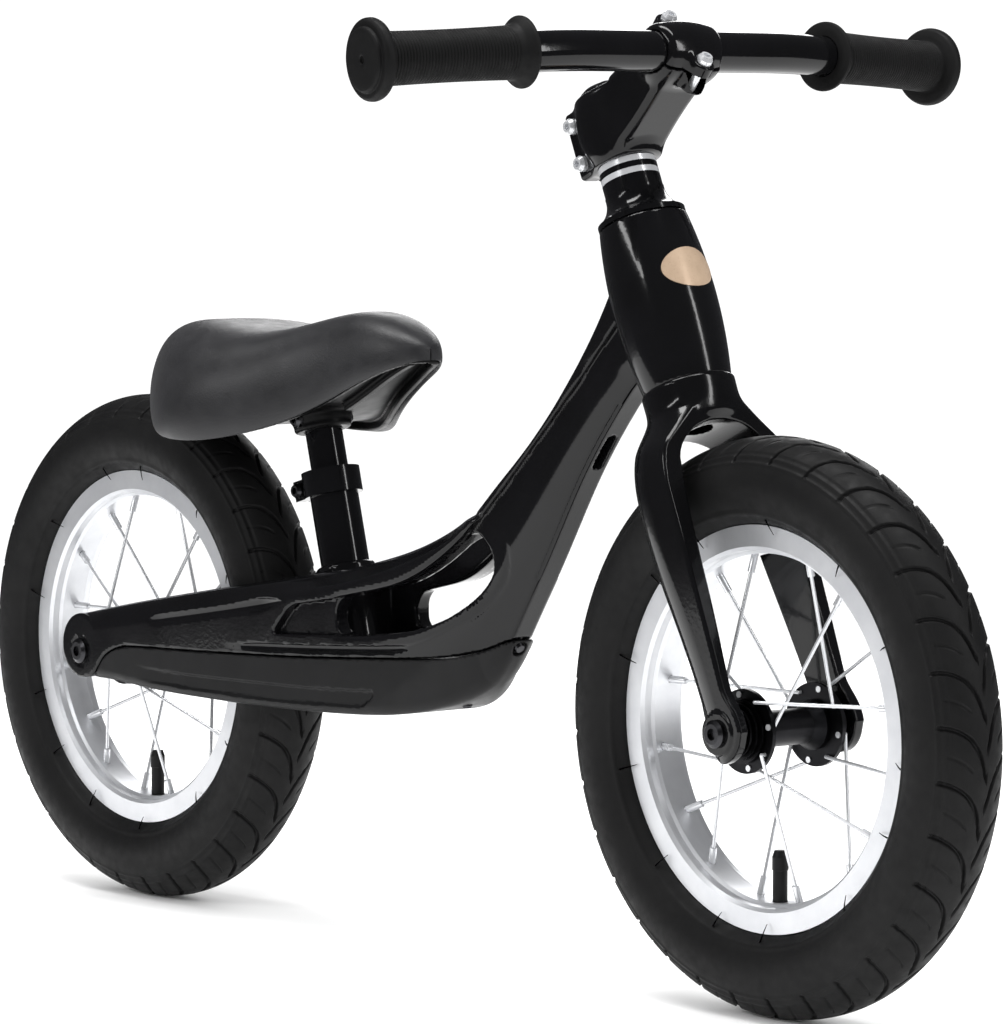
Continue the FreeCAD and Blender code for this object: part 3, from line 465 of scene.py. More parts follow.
# ---- frame casting ----
# outlines along X: the casting's half width, its upper and lower edge, and along Z its front edge
HALF = Curve([(-330, 57.5), (-285, 57.5), (-200, 54.0), (-130, 47.0), (-60, 38.0), (0, 30.0),
              (60, 22.0), (130, 16.0), (230, 15.0)])
TOP = Curve([(-289, 177.6), (-250, 185.2), (-200, 194.3), (-150, 203), (-100, 211.3), (-60, 218),
             (-27, 225.5), (0, 233.8), (25, 244.4), (41, 253.2), (57, 265), (75, 281), (95, 300.3),
             (114, 321), (131, 342), (146, 362.5), (160, 385), (172, 408), (184, 434)])
BASE = Curve([(-300, 138.8), (-285, 139), (-276, 140.2), (-270, 144), (-264, 151), (-255, 157.2),
              (-245, 160.6), (-232, 162), (-194, 163), (-150, 164.2), (-93, 166), (-50, 168.2),
              (-17, 170.2), (10, 171.8), (32, 174), (50, 178.2), (72, 187.5), (80, 192)])
NOSE = Curve([(187, 70), (205, 82), (225, 95.5), (256, 115), (280, 130.5), (302, 147), (324, 166),
              (338, 182), (346, 196)])
# how far the sloping shoulder drops, and how far it comes in, from the top edge
SHOULDER_DROP = Curve([(-300, 7), (-240, 9.5), (-150, 11.5), (-84, 11), (-30, 10), (20, 10), (45, 10),
                       (64, 7), (85, 5.5), (160, 5.5)])
SHOULDER_IN = Curve([(-300, 2.5), (-240, 3.5), (-150, 6), (-84, 9), (-30, 10), (30, 10), (48, 8),
                     (64, 4.5), (85, 4), (160, 4)])
WINDOW_TOP = Curve([(-130, 190), (-90, 196.5), (-53, 202.5), (-30, 207), (-3, 213.5), (23, 226),
                    (37, 235.5), (51, 247), (60, 256)])
WINDOW_LOW = Curve([(-130, 177), (-90, 179), (-53, 181), (-17, 184), (8, 188), (32, 196), (52, 206),
                    (62, 213)])
WINDOW_FRONT = Curve([(196, 40), (206, 53), (216, 62), (228, 66), (240, 60.5), (248, 50), (256, 36)])
WINDOW_BACK = -58.0
RAIL_GROOVE = Curve([(-150, 168.6), (-134, 169.2), (-83, 171.3), (-33, 174), (8, 178), (24, 181)])
FACE_HALF = 7.5
BEVEL = 0.52
BAND_HEIGHT, TRENCH_DEPTH = 2.8, 1.3
BEAM_BACK = -288.0
REAR_END_Z, REAR_END_R = 158.5, 19.5
SPOT_R, SPOT_FLOOR = 9.4, 57.0
# between the two arms: the wall that is left, the front of the space, and the bridge across it
ARM_WALL, SPACE_FRONT = 14.0, 44.0
BRIDGE_BACK, BRIDGE_FRONT = -124.0, -84.0
PANEL_DEPTH = 3.2
CHANNEL_LOW, CHANNEL_TOP, CHANNEL_R = 222.0, 321.0, 1.5
DRAIN_X, DRAIN_Z, DRAIN_HALF, DRAIN_R, DRAIN_DEPTH = 141.0, 294.0, 8.5, 3.5, 8.0
# the head barrel, along the steering axis
BARREL_MIDDLE, BARREL_HALF, BARREL_R, BARREL_WAIST, HEAD_BORE_R = 240.45, 47.75, 28.5, 4.1, 20.8
SOCKET_R, SOCKET_BORE_R, SOCKET_TOP, SOCKET_FOOT = 17.2, 14.45, 3.2, -14.0


def steering(x, y, z):
    """Distance along the steering axis, distance forward of it, and distance from it."""
    dx, dz = x - FRONT_AXLE[0], z - FRONT_AXLE[2]
    along = -dx * STEER_SIN + dz * STEER_COS
    forward = dx * STEER_COS + dz * STEER_SIN
    return along, forward, np.hypot(forward, y)


def seating(x, y, z):
    """Distance along the seat tube's axis from its foot, and distance from that axis."""
    dx, dz = x - SEAT_BASE[0], z - SEAT_BASE[2]
    along = -dx * SEAT_SIN + dz * SEAT_COS
    return along, np.hypot(dx * SEAT_COS + dz * SEAT_SIN, y)


def casting(x, y, z):
    """The frame's one casting, from the head barrel to the rear ends."""
    ay = np.abs(y)
    half = HALF(x)
    top = TOP.over(x, z)
    front = NOSE.over(z, x)
    # window between arm and rail, and the raised band round it
    low_side, high_side = -WINDOW_LOW.over(x, z), WINDOW_TOP.over(x, z)
    gap = rmax(rmax(high_side, WINDOW_FRONT.over(z, x), 5.0), low_side, 9.0)
    arm = smooth(-6, 4, high_side) * (1 - smooth(30, 58, x))
    reach = gap * (1 - 0.72 * arm)
    trench = TRENCH_DEPTH * np.exp(-((gap - 11.2) / 1.5) ** 2) * smooth(35, 55, x)
    band = (BAND_HEIGHT * (1 - smooth(6.0, 9.4, reach)) - trench) * smooth(-150, -95, x)
    side = ay - half - band
    # narrow front face with sloping sides
    bevel = (ay - FACE_HALF + BEVEL * front) / math.hypot(1, BEVEL)
    tube = rmax(side, bevel, 7.0)
    tube = rmax(tube, front, 1.6)
    # sloping shoulder along the top edge
    edge = TOP(x)
    drop, inward = SHOULDER_DROP(x), SHOULDER_IN(x)
    shoulder = ((ay - half - band) * drop + (z - edge + drop) * inward) / np.hypot(drop, inward)
    tube = rmax(tube, shoulder, 1.4)
    tube = rmax(tube, top, 4.0)
    tube = rmax(tube, -BASE.over(x, z), 0.9)
    # rounded ends at the rear axle
    end = np.hypot(x - REAR_AXLE[0], z - REAR_END_Z) - REAR_END_R
    tube = rmax(tube, BEAM_BACK - x)
    tube = rmin(tube, rmax(end, ay - half, 1.6))
    spot = np.maximum(np.hypot(x - REAR_AXLE[0], z - REAR_AXLE[2]) - SPOT_R, SPOT_FLOOR - ay)
    tube = rmax(tube, -spot, 0.4)
    # open space between the arms and round the rear wheel
    bridge = np.maximum(x - BRIDGE_FRONT, BRIDGE_BACK - x)
    cavity = rmax(rmax(ay - half + ARM_WALL, x - SPACE_FRONT, 6.0), -bridge, 5.0)
    tube = rmax(tube, -cavity, 2.2)
    opening = rmax(gap, WINDOW_BACK - x, 9.0)
    tube = rmax(tube, -opening, 3.2)
    # sunk panel behind the window
    panel = rmax(rmax(high_side, low_side, 1.5), -(x + 103.0 - 0.875 * (z - 181.0)) / 1.33, 4.0)
    tube = rmax(tube, -np.maximum(panel, half - PANEL_DEPTH - ay), 0.9)
    # groove under the rail
    size = 2.5 * smooth(-152, -112, x) * (1 - smooth(-16, 22, x))
    groove = np.hypot(ay - half - 0.9, RAIL_GROOVE.over(x, z)) - size
    tube = rmax(tube, -groove, 0.6)
    # hollow line below the shoulder of the rear beam
    size = 5.0 * smooth(-238, -205, x) * (1 - smooth(-118, -86, x))
    line = np.hypot(ay - half - 3.6, (z - edge + drop + 2.6)) - size
    tube = rmax(tube, -line, 0.5)
    # fine channels each side of the front face, and the drain slot in it
    channel = np.hypot(front + 0.4, ay - FACE_HALF - 1.0)
    channel = np.hypot(channel, np.maximum(np.maximum(z - CHANNEL_TOP, CHANNEL_LOW - z), 0)) - CHANNEL_R
    tube = rmax(tube, -channel, 0.5)
    along = (x - DRAIN_X) * 0.64 + (z - DRAIN_Z) * 0.77
    slot = np.hypot(np.maximum(np.abs(along) - DRAIN_HALF, 0), y) - DRAIN_R
    tube = rmax(tube, -np.maximum(slot, -DRAIN_DEPTH - front), 0.7)
    # head barrel, with the tube ending inside it
    s, n, r = steering(x, y, z)
    swell = BARREL_R - BARREL_WAIST * ((s - BARREL_MIDDLE) / BARREL_HALF) ** 2
    barrel = rmax(r - swell, np.abs(s - BARREL_MIDDLE) - BARREL_HALF, 1.1)
    tube = rmin(rmax(tube, n), barrel, 1.3)
    tube = rmax(tube, HEAD_BORE_R - r, 0.5)
    # socket of the seat tube
    u, q = seating(x, y, z)
    collar = rmax(rmax(q - SOCKET_R, u - SOCKET_TOP, 2.0), SOCKET_FOOT - u)
    tube = rmin(tube, collar, 4.0)
    return rmax(tube, SOCKET_BORE_R - q, 0.4)


frame_piece = surface("frame_casting", casting, (-306.5, -62, 134), (236, 62, 436), 1.38, "frame", PAINT)
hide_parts("main_frame")


# ---- footrest cover ----
FLOOR = Curve([(-290, 138.6), (-272, 139.4), (-226, 137), (-175, 135), (-130, 134), (-60, 134.5),
               (-20, 136.6), (5, 140), (25, 145), (40, 151.5), (54, 162), (64, 174), (72, 187), (78, 198)])
RELIEF_TOP = Curve([(-240, 152.5), (-215, 150.2), (-180, 149.2), (-134, 149), (-83, 149.2), (-40, 150.4),
                    (0, 153)])
RELIEF_DEPTH = 1.3
COVER_GAP = 0.75
COVER_BACK, COVER_CORE_BACK = -273.5, -248.0
WHEEL_SLOT_HALF, WHEEL_SLOT_FRONT = 33.2, -123.5
SCREW_X, SCREW_Z, SCREW_R = 66.5, 180.5, 4.6
COVER_WALL = 4.2


def cover(x, y, z):
    """The hollow plastic tray under the rails: its wall, sunk panel, wheel slot and front screw's recess."""
    ay = np.abs(y)
    half = HALF(x) - 0.2
    relief = rmax(RELIEF_TOP.over(x, z), FLOOR.over(x, z) * -1 + 4.6, 2.0)
    relief = rmax(relief, x + 23.0 - 0.9 * (z - 150.0), 5.0)
    sunk = RELIEF_DEPTH * (1 - smooth(-1.4, 0.2, relief)) * smooth(-232, -190, x)
    side = ay - half + sunk
    nose_depth = FLOOR.over(x, z)
    bevel = (ay - FACE_HALF - 2.0 - 0.58 * np.maximum(nose_depth, 0) - 0.42 * np.maximum(50.0 - x, 0)) / 1.22
    shell = rmax(rmax(side, bevel, 10.0), -nose_depth, 6.0)
    shell = rmax(shell, BASE.over(x, z) + COVER_GAP, 0.5)
    nose_end = (x - 71.5) * 0.96 + (z - 186.0) * 0.28
    shell = rmax(shell, nose_end, 3.0)
    shell = rmax(shell, COVER_BACK - x)
    shell = rmax(shell, -rmax(ay - WHEEL_SLOT_HALF, x - WHEEL_SLOT_FRONT, 4.0), 1.0)
    core = rmax(rmax(ay - half + 4.6, FLOOR.over(x, z) * -1 + 3.2, 3.0), x - 20.0, 3.0)
    core = rmax(core, -rmax(ay - 36.0, x + 120.8, 3.0), 2.0)
    core = rmax(core, COVER_CORE_BACK - x, 2.0)
    core = np.maximum(core, shell + COVER_WALL)
    shell = rmax(shell, -core, 0.5)
    beside = (x - SCREW_X) * 0.6 + (z - SCREW_Z) * 0.8
    depth = (x - SCREW_X) * 0.8 - (z - SCREW_Z) * 0.6
    recess = np.hypot(beside, y) - SCREW_R
    return rmax(shell, -np.maximum(recess, -1.2 - depth), 0.8)


cover_piece = surface("footrest_tray", cover, (-276, -60, 131), (76, 60, 192), 1.2, "frame", COVER)
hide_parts("footrest_cover")


# ---- fork ----
# outlines along the steering axis: the legs' outer and inner sides, and their front and back edges
LEG_OUT = Curve([(-20, 45.3), (40, 45.3), (80, 46), (125, 46), (148, 44.0), (163, 38.0), (172, 32),
                 (180, 27), (192, 24.4)])
LEG_IN = Curve([(-20, 38), (16, 38), (60, 36.5), (120, 34), (146, 31.5)])
LEG_FRONT = Curve([(-20, 12), (11, 12), (60, 13.6), (120, 14), (155, 15.5), (178, 20.5), (192, 24.4)])
LEG_BACK = Curve([(-20, -12), (11, -12), (60, -14.6), (110, -19), (145, -18.6), (178, -20.5), (192, -24.4)])
CROWN = Curve([(160, 14.5), (171, 20), (178, 22.6), (185, 24), (192, 24.4)])
CROWN_SIDE = Curve([(140, 62), (150, 51), (160, 41), (168, 33.5), (175, 28.2), (181, 25.2), (187, 24.4),
                    (192, 24.4)])
CROWN_LOW, CROWN_TOP = 172.0, 191.9
ARCH_START, ARCH_R, ARCH_STRETCH = 146.0, 22.5, 0.714
FORK_END_R, BOSS_R, BOSS_IN, BOSS_OUT = 16.3, 11.6, 40.0, 46.0
STEERER_BORE_R = 12.75


def fork(x, y, z):
    """The fork: two flat legs with round ends, an arch between them and the crown above it."""
    s, n, r = steering(x, y, z)
    ay = np.abs(y)
    outer = LEG_OUT.over(s, ay)
    arch = (np.hypot(ay * ARCH_STRETCH, np.maximum(s - ARCH_START, 0)) - ARCH_R) / 0.8
    inner = np.where(s < ARCH_START, LEG_IN.over(s, ay), arch)
    back = -LEG_BACK.over(s, n)
    heel = ((ay - LEG_OUT(s)) * 10.0 - (n - LEG_BACK(s) - 10.0) * 5.5) / 11.41
    wide = rmax(LEG_FRONT.over(s, n), back, 1.5)
    profile = rmin(rmax(wide, -s), np.hypot(s, n) - FORK_END_R, 9.0)
    leg = rmax(rmax(outer, heel, 3.0), profile, 1.8)
    leg = rmax(leg, -inner, 1.3)
    leg = rmax(leg, CROWN_SIDE.over(s, r), 2.0)
    leg = rmax(leg, s - CROWN_TOP, 0.6)
    crown = rmax(rmax(CROWN.over(s, r), CROWN_LOW - s, 2.0), s - CROWN_TOP, 0.8)
    body = rmin(leg, crown, 5.0)
    boss = rmax(np.hypot(s, n) - BOSS_R, np.maximum(ay - BOSS_OUT, BOSS_IN - ay), 0.8)
    body = rmin(body, boss, 1.2)
    return np.maximum(body, STEERER_BORE_R - r - np.maximum(CROWN_LOW + 2.0 - s, 0))


fork_piece = surface("fork_body", fork, (183, -50, 135), (309, 50, 346), 1.1, "steering", FORK_PAINT)
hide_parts("fork")


# ---- stem and bar clamp ----
BAR_X, BAR_Z = 203.0, 513.0
CLAMP_NX, CLAMP_NZ = 0.615, 0.788
BAR_BORE_R, STEM_BORE_R = 11.3, 12.9
CLAMP_R, CLAMP_HALF = 16.6, 19.3
BOLT_OUT, BOLT_BOSS_R, PLATE_BOLT_OUT, BOLT_HOLE_R = 18.3, 6.7, 18.5, 2.7
# the arm's centre line, as distances along the steering axis and forward of it
ARM_FROM, ARM_TO = (344.0, 6.0), (361.6, 64.4)
STEM_LOW, STEM_TOP = 323.0, 363.9
EAR_BACK, EAR_HALF = -26.8, 11.9
SPLIT_HALF = 0.9


def clamping(x, z):
    """Distances from the bar's centre along the clamp's normal and along its bolt line."""
    dx, dz = x - BAR_X, z - BAR_Z
    return dx * CLAMP_NX + dz * CLAMP_NZ, -dx * CLAMP_NZ + dz * CLAMP_NX


def clamp_barrel(x, y, z):
    """The rounded ring round the bar, with a boss for each of its two bolts."""
    a, t = clamping(x, z)
    ay = np.abs(y)
    ring = rmax(np.hypot(a, t) - CLAMP_R + 2.2 * (ay / 19.0) ** 2, ay - CLAMP_HALF, 3.5)
    boss = rmax(np.hypot(np.abs(t) - BOLT_OUT, y) - BOLT_BOSS_R, np.maximum(a - 7.0, -11.0 - a), 1.2)
    return rmin(ring, boss, 5.0)


def stem(x, y, z):
    """The stem: a split clamp on the steerer, a tapered arm, and the rear half of the bar's clamp."""
    s, n, r = steering(x, y, z)
    a, t = clamping(x, z)
    ay = np.abs(y)
    rise, reach = ARM_TO[0] - ARM_FROM[0], ARM_TO[1] - ARM_FROM[1]
    up, out = s - ARM_FROM[0], n - ARM_FROM[1]
    along = np.clip((up * rise + out * reach) / (rise ** 2 + reach ** 2), 0, 1)
    beside = np.hypot(up - along * rise, out - along * reach)
    arm = rmax(beside - 19.5 + 5.5 * along, ay - 18.4 + 2.2 * np.sin(math.pi * along), 5.0)
    barrel = rmax(r - 18.4 - 1.0 * smooth(323, 345, s), np.abs(s - 343.3) - 20.3, 2.0)
    ear = rmax(rmax(ay - EAR_HALF, np.abs(s - 343.0) - 19.8, 3.0), np.maximum(EAR_BACK - n, n), 2.5)
    corner = (s - 364.0) * 0.92 + (n + 26.0) * -0.39
    body = rmin(rmin(barrel, ear, 4.0), arm, 6.0)
    body = rmax(body, np.maximum(STEM_LOW - s, corner - 10.0), 1.5)
    body = rmin(body, clamp_barrel(x, y, z), 6.0)
    body = rmax(body, np.where(r < 26, s - STEM_TOP, -20.0), 1.2)
    body = rmax(body, a + 0.5, 0.5)
    body = rmax(body, BAR_BORE_R - np.hypot(a, t), 0.4)
    body = rmax(body, STEM_BORE_R - r, 0.4)
    return rmax(body, -np.maximum(ay - SPLIT_HALF, n + 12.0), 0.4)


def faceplate(x, y, z):
    """The front half of the bar's clamp."""
    a, t = clamping(x, z)
    plate = rmax(clamp_barrel(x, y, z), 0.5 - a, 0.5)
    plate = rmax(plate, BAR_BORE_R - np.hypot(a, t), 0.4)
    return rmax(plate, BOLT_HOLE_R - np.hypot(np.abs(t) - PLATE_BOLT_OUT, y), 0.3)


stem_piece = surface("stem_body", stem, (116, -22, 440), (216, 22, 538), 0.8, "steering", FORK_PAINT)
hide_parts("stem")
plate_piece = surface("bar_clamp_plate", faceplate, (176, -22, 486), (232, 22, 542), 0.7, "steering",
                      FORK_PAINT)
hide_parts("stem_faceplate")


# ---- grips ----
def turned(name, base, direction, profile, sides, body, material):
    """A surface of revolution: profile rows are radius and distance from base along direction, in mm."""
    direction = np.array(direction, float) / np.linalg.norm(direction)
    first = np.cross(direction, (0.0, 0.0, 1.0))
    first /= np.linalg.norm(first)
    second = np.cross(direction, first)
    rows = np.array(profile, float)
    step = np.gradient(rows, axis=0)
    slope = np.stack([step[:, 1], -step[:, 0]], 1)
    slope /= np.maximum(np.linalg.norm(slope, axis=1), 1e-9)[:, None]
    angle = np.arange(sides) * 2 * math.pi / sides
    ring = np.cos(angle)[:, None] * first + np.sin(angle)[:, None] * second
    points = np.asarray(base) + ring[:, None] * rows[None, :, :1] + direction * rows[None, :, 1:]
    normals = ring[:, None] * slope[None, :, :1] + direction * slope[None, :, 1:]
    i = np.arange(sides)[:, None]
    j = np.arange(len(rows) - 1)[None, :]
    faces = grid_faces(i, (i + 1) % sides, j, len(rows))
    return made(name, points.reshape(-1, 3), faces, normals.reshape(-1, 3), body, material)


def rounded(points, steps=7, keep=0.35):
    """The polyline with each inner corner replaced by a short curve."""
    points = np.array(points, float)
    rows = [points[0]]
    for before, corner, after in zip(points, points[1:], points[2:]):
        a, b = corner + (before - corner) * keep, corner + (after - corner) * keep
        for t in np.linspace(0, 1, steps):
            rows.append(a * (1 - t) ** 2 + corner * 2 * t * (1 - t) + b * t * t)
    rows.append(points[-1])
    return np.array(rows)


BAR_END = np.array([188.0, 205.0, 506.5])
BEND_CORNER = np.array([203.0, 80.0, 513.0])
GRIP_LENGTH, GRIP_R, GRIP_RIBS, GRIP_SIDES = 99.0, 13.8, 40, 128


def grip_profile():
    """Inner collar, fine rings along the sleeve, flange and stepped end with a small vent."""
    collar = rounded([(11.4, 0.2), (15.4, 0.0), (19.1, 0.6), (19.3, 2.6), (17.6, 4.6), (15.2, 6.8),
                      (14.2, 9.6), (13.6, 10.4)])
    first, last = 10.6, 87.4
    q = np.linspace(0, 1, GRIP_RIBS * 9 + 1)
    wave = np.abs(np.sin(math.pi * GRIP_RIBS * q)) ** 0.7
    radius = GRIP_R - 0.62 + 0.72 * wave + 0.5 * (2 * q - 1) ** 2
    sleeve = np.stack([radius, first + (last - first) * q], 1)
    end = rounded([(13.6, 87.7), (14.4, 88.6), (17.6, 89.0), (20.9, 90.0), (21.9, 92.4), (21.6, 95.2),
                   (20.0, 96.6), (17.2, 96.7), (17.0, 98.3), (15.6, 99.1), (8.0, 99.2), (2.2, 99.2),
                   (1.8, 97.4), (0.05, 97.4)])
    return np.concatenate([collar, sleeve, end])


for side, sign in (("left", 1.0), ("right", -1.0)):
    mirror = np.array([1.0, sign, 1.0])
    aim = BAR_END - BEND_CORNER
    aim /= np.linalg.norm(aim)
    grip_piece = turned(side + "_grip_sleeve", (BAR_END - aim * (GRIP_LENGTH + 0.2)) * mirror, aim * mirror,
                        grip_profile(), GRIP_SIDES, "bars", GRIP)
    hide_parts(side + "_grip")


# ---- tyres ----
SECTION = 25.75
RING = WHEEL_R - SECTION
GROOVES = 32
PITCH = 2 * math.pi * WHEEL_R / GROOVES
GROOVE_DEPTH, FINE_DEPTH = 2.1, 0.8
BEAD_R, BEAD_HALF = 108.75, 12.7
# raised lines round the sidewall: radius, width and height
RIBS = ((145.0, 0.9, 0.55), (141.6, 0.9, 0.55), (114.6, 1.4, 0.7))
# how far round the tyre one groove has swept, in mm, at each distance across the tread
SWEEP = Curve([(-4.0, 33.0), (0.0, 28.0), (1.6, 24.0), (3.4, 18.5), (6.0, 12.5), (10.0, 7.0), (15.0, 3.3),
               (20.0, 1.2), (25.0, 0.2), (34.0, 0.0)])


def groove_offset(q):
    """Distance round the tyre from one of the repeating grooves, q being in the same units."""
    return np.mod(q + PITCH * 0.5, PITCH) - PITCH * 0.5


def tyre_point(axle, turn):
    """Surface of one tyre, from an angle round the wheel and one round its section, in degrees.

    Turn is 1 or -1, the way that the grooves sweep.
    """
    def point(u, v):
        section = np.radians(v)
        across = section * SECTION
        swept, slope = SWEEP.both(np.abs(across))
        # the two sides' grooves are half a pitch apart
        sweep = swept + np.where(across >= 0, 0.0, PITCH * 0.5)
        along = np.radians(u) * WHEEL_R
        d = np.abs(groove_offset(turn * along - sweep)) / np.sqrt(1 + slope ** 2)
        end = smooth(26.0, 28.0, np.abs(across)) + 1 - smooth(-0.5, 1.2, np.abs(across))
        depth = GROOVE_DEPTH * (1 - smooth(0.5, 1.5, d)) * (1 - end)
        # a finer cut halfway between two grooves, on the outer part of the tread only
        fine = np.abs(groove_offset(turn * along - sweep - PITCH * 0.5)) / np.sqrt(1 + slope ** 2)
        outer = smooth(8.0, 10.0, np.abs(across)) * (1 - smooth(21.5, 23.5, np.abs(across)))
        depth = depth + FINE_DEPTH * (1 - smooth(0.25, 0.85, fine)) * outer
        r = RING + SECTION * np.cos(section)
        rib = 0.0
        for ring, width, height in RIBS:
            rib = rib + height * np.exp(-((r - ring) / width) ** 2) * (np.abs(section) > 0.5)
        size = SECTION - depth + rib - 0.35 * (1 - smooth(146.5, 148.0, r))
        angle = np.radians(u)
        radius = RING + size * np.cos(section)
        y = size * np.sin(section)
        # below the shoulder the sidewall turns in over the rim's edge
        tuck = smooth(138.0, 150.0, np.abs(v))
        radius = radius * (1 - tuck) + BEAD_R * tuck
        y = y * (1 - tuck) + np.sign(v) * BEAD_HALF * tuck
        place = (axle[0] + radius * np.cos(angle), axle[1] + y, axle[2] + radius * np.sin(angle))
        return np.stack(place, -1)
    return point


def sheared(axle, turn):
    """The same surface on a grid whose lines run along the grooves."""
    plain_point = tyre_point(axle, turn)

    def point(u, v):
        across = np.radians(v) * SECTION
        fade = 1 - smooth(29.0, 38.0, np.abs(across))
        sweep = SWEEP(np.minimum(np.abs(across), 34.0)) * fade
        return plain_point(u + turn * np.degrees(sweep / WHEEL_R), v)
    return point


def section_angles():
    """Angles round the section, close together on the tread and at the sidewall's lines."""
    tread = np.linspace(-57.0, 57.0, 59)
    wall = np.array([60, 63, 66, 70, 75, 82, 90, 98, 106, 112, 117, 120, 122.5, 125, 127.5, 130, 134, 138,
                     142, 146, 150.0])
    return np.concatenate([-wall[::-1], tread, wall])


WHISKERS = 13
WHISKER_ROOT_R, WHISKER_ROOT_OUT = 112.4, 19.8
WHISKER_RINGS, WHISKER_SIDES = 5, 6


def whiskers(axle, seed):
    """Short tapered rubber hairs that the mould's vents leave beside the rim, lying over its edge."""
    random = np.random.default_rng(seed)
    points, faces, normals = [], [], []
    for k in range(WHISKERS * 2):
        sign = 1.0 if k % 2 else -1.0
        turn = (k // 2 + random.uniform(-0.22, 0.22)) * 2 * math.pi / WHISKERS
        length, lean = random.uniform(7.0, 10.5), random.uniform(-0.35, 0.35)
        inward = np.array([-math.cos(turn), 0.0, -math.sin(turn)])
        tangent = np.array([-math.sin(turn), 0.0, math.cos(turn)])
        out = np.array([0.0, sign, 0.0])
        root = np.array(axle) - inward * WHISKER_ROOT_R + out * WHISKER_ROOT_OUT
        start = len(points)
        for t in np.linspace(0, 1, WHISKER_RINGS):
            middle = root + (inward + tangent * lean) * length * t - out * (3.0 * t + t * t)
            for c in range(WHISKER_SIDES):
                angle = 2 * math.pi * c / WHISKER_SIDES
                normal = tangent * math.cos(angle) + out * math.sin(angle)
                points.append(middle + normal * (0.5 - 0.3 * t))
                normals.append(normal)
        for i in range(WHISKER_RINGS - 1):
            for c in range(WHISKER_SIDES):
                a = start + i * WHISKER_SIDES + c
                b = start + i * WHISKER_SIDES + (c + 1) % WHISKER_SIDES
                faces.append((a, b, b + WHISKER_SIDES, a + WHISKER_SIDES))
    return np.array(points), np.array(faces), np.array(normals)


TYRE_ROWS = 960
TREAD_TURN = -1.0
for wheel, axle, seed in (("front", FRONT_AXLE, 3), ("rear", REAR_AXLE, 8)):
    around = np.arange(TYRE_ROWS) * 360.0 / TYRE_ROWS
    tyre_piece = sheet_of(wheel + "_tyre_tread", sheared(axle, TREAD_TURN), around, section_angles(), True,
                          wheel + "_wheel", TYRE, 0.08, whiskers(axle, seed))
    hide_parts(wheel + "_tyre")


# ---- saddle ----
STATIONS = np.array([
    # x, half width, crown height, lower edge height
    (-241.5, 0.5, 334, 316.5), (-240.4, 14, 343, 315), (-235.5, 29, 350, 311), (-226, 43.5, 356, 304.5),
    (-207, 59.5, 360, 296), (-174, 74, 359.5, 290.5), (-138, 69.5, 356.3, 291.5), (-102, 48.5, 361.2, 301),
    (-72, 34.0, 366.2, 314.5), (-48, 27.5, 365.0, 326.5), (-31, 21.5, 359.6, 333.5),
    (-19.5, 13.5, 353.4, 338), (-14.6, 6.5, 349, 339.6), (-13.0, 0.4, 346.5, 339.8)])
STEPS = np.linalg.norm(np.diff(STATIONS, axis=0) * (1, 0.6, 0.6, 0.3), axis=1)
LENGTHS = np.concatenate([[0], np.cumsum(STEPS)])
LENGTHS = LENGTHS / LENGTHS[-1] * 100
PLAN = [Curve(np.stack([LENGTHS, column], 1)) for column in STATIONS.T]
# half of the padding's cross-section, as fractions of half width and height, from crown to inner lip
RIM_T = np.array([0, 10, 20, 30, 40, 50, 60, 68, 76, 83, 90, 95, 100.0])
RIM_ACROSS = [0, 0.2, 0.4, 0.58, 0.74, 0.875, 0.965, 0.995, 1.0, 0.985, 0.95, 0.91, 0.86]
RIM_UP = [1, 0.995, 0.97, 0.915, 0.82, 0.67, 0.47, 0.32, 0.18, 0.07, 0.0, 0.01, 0.06]
RIM_A = Curve(np.stack([RIM_T, RIM_ACROSS], 1))
RIM_B = Curve(np.stack([RIM_T, RIM_UP], 1))
DISH = 2.2


def saddle_point(u, v):
    """The padding's surface, u from 0 at the rear to 100 at the nose, v from lip to lip, -100 to 100."""
    x, half, crown, low = (np.asarray(c(u)) for c in PLAN)
    half = np.maximum(half, 0.3)
    a, b = RIM_A(np.abs(v)), RIM_B(np.abs(v))
    dish = DISH * np.exp(-(a / 0.42) ** 2) * smooth(8, 30, u) * (1 - smooth(58, 80, u))
    return np.stack([x, np.sign(v) * a * half, low + (crown - low) * b - dish], -1)


lengthwise = np.concatenate([np.linspace(0, 8, 22)[:-1], np.linspace(8, 92, 130)[:-1],
                             np.linspace(92, 100, 22)])
crosswise = np.linspace(-100, 100, 161)
padding = sheet_of("saddle_pad", saddle_point, lengthwise, crosswise, False, "seat", SADDLE, eps=0.02)
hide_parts("saddle_padding")

# the shell's half width and the height of the padding's lower edge, along X
WIDTH_AT = Curve([(-240, 14), (-235.5, 28), (-226, 42.5), (-207, 59), (-174, 74), (-138, 69.5),
                  (-102, 48.5), (-72, 34), (-48, 27.5), (-31, 21.5), (-20, 13.5), (-15, 5)])
LOW_AT = Curve([(-241, 316), (-235.5, 311.5), (-226, 304.5), (-207, 296), (-174, 290.5), (-138, 291.5),
                (-102, 301), (-72, 314.5), (-48, 326.5), (-31, 333.5), (-19.5, 338), (-13, 342)])
SHELL_MIDDLE, SHELL_HALF, SHELL_TOP = -131.0, 108.4, 9.0
RIDGE_HALF = 2.6
NECK_R, POST_BORE_R = 17.0, 11.15


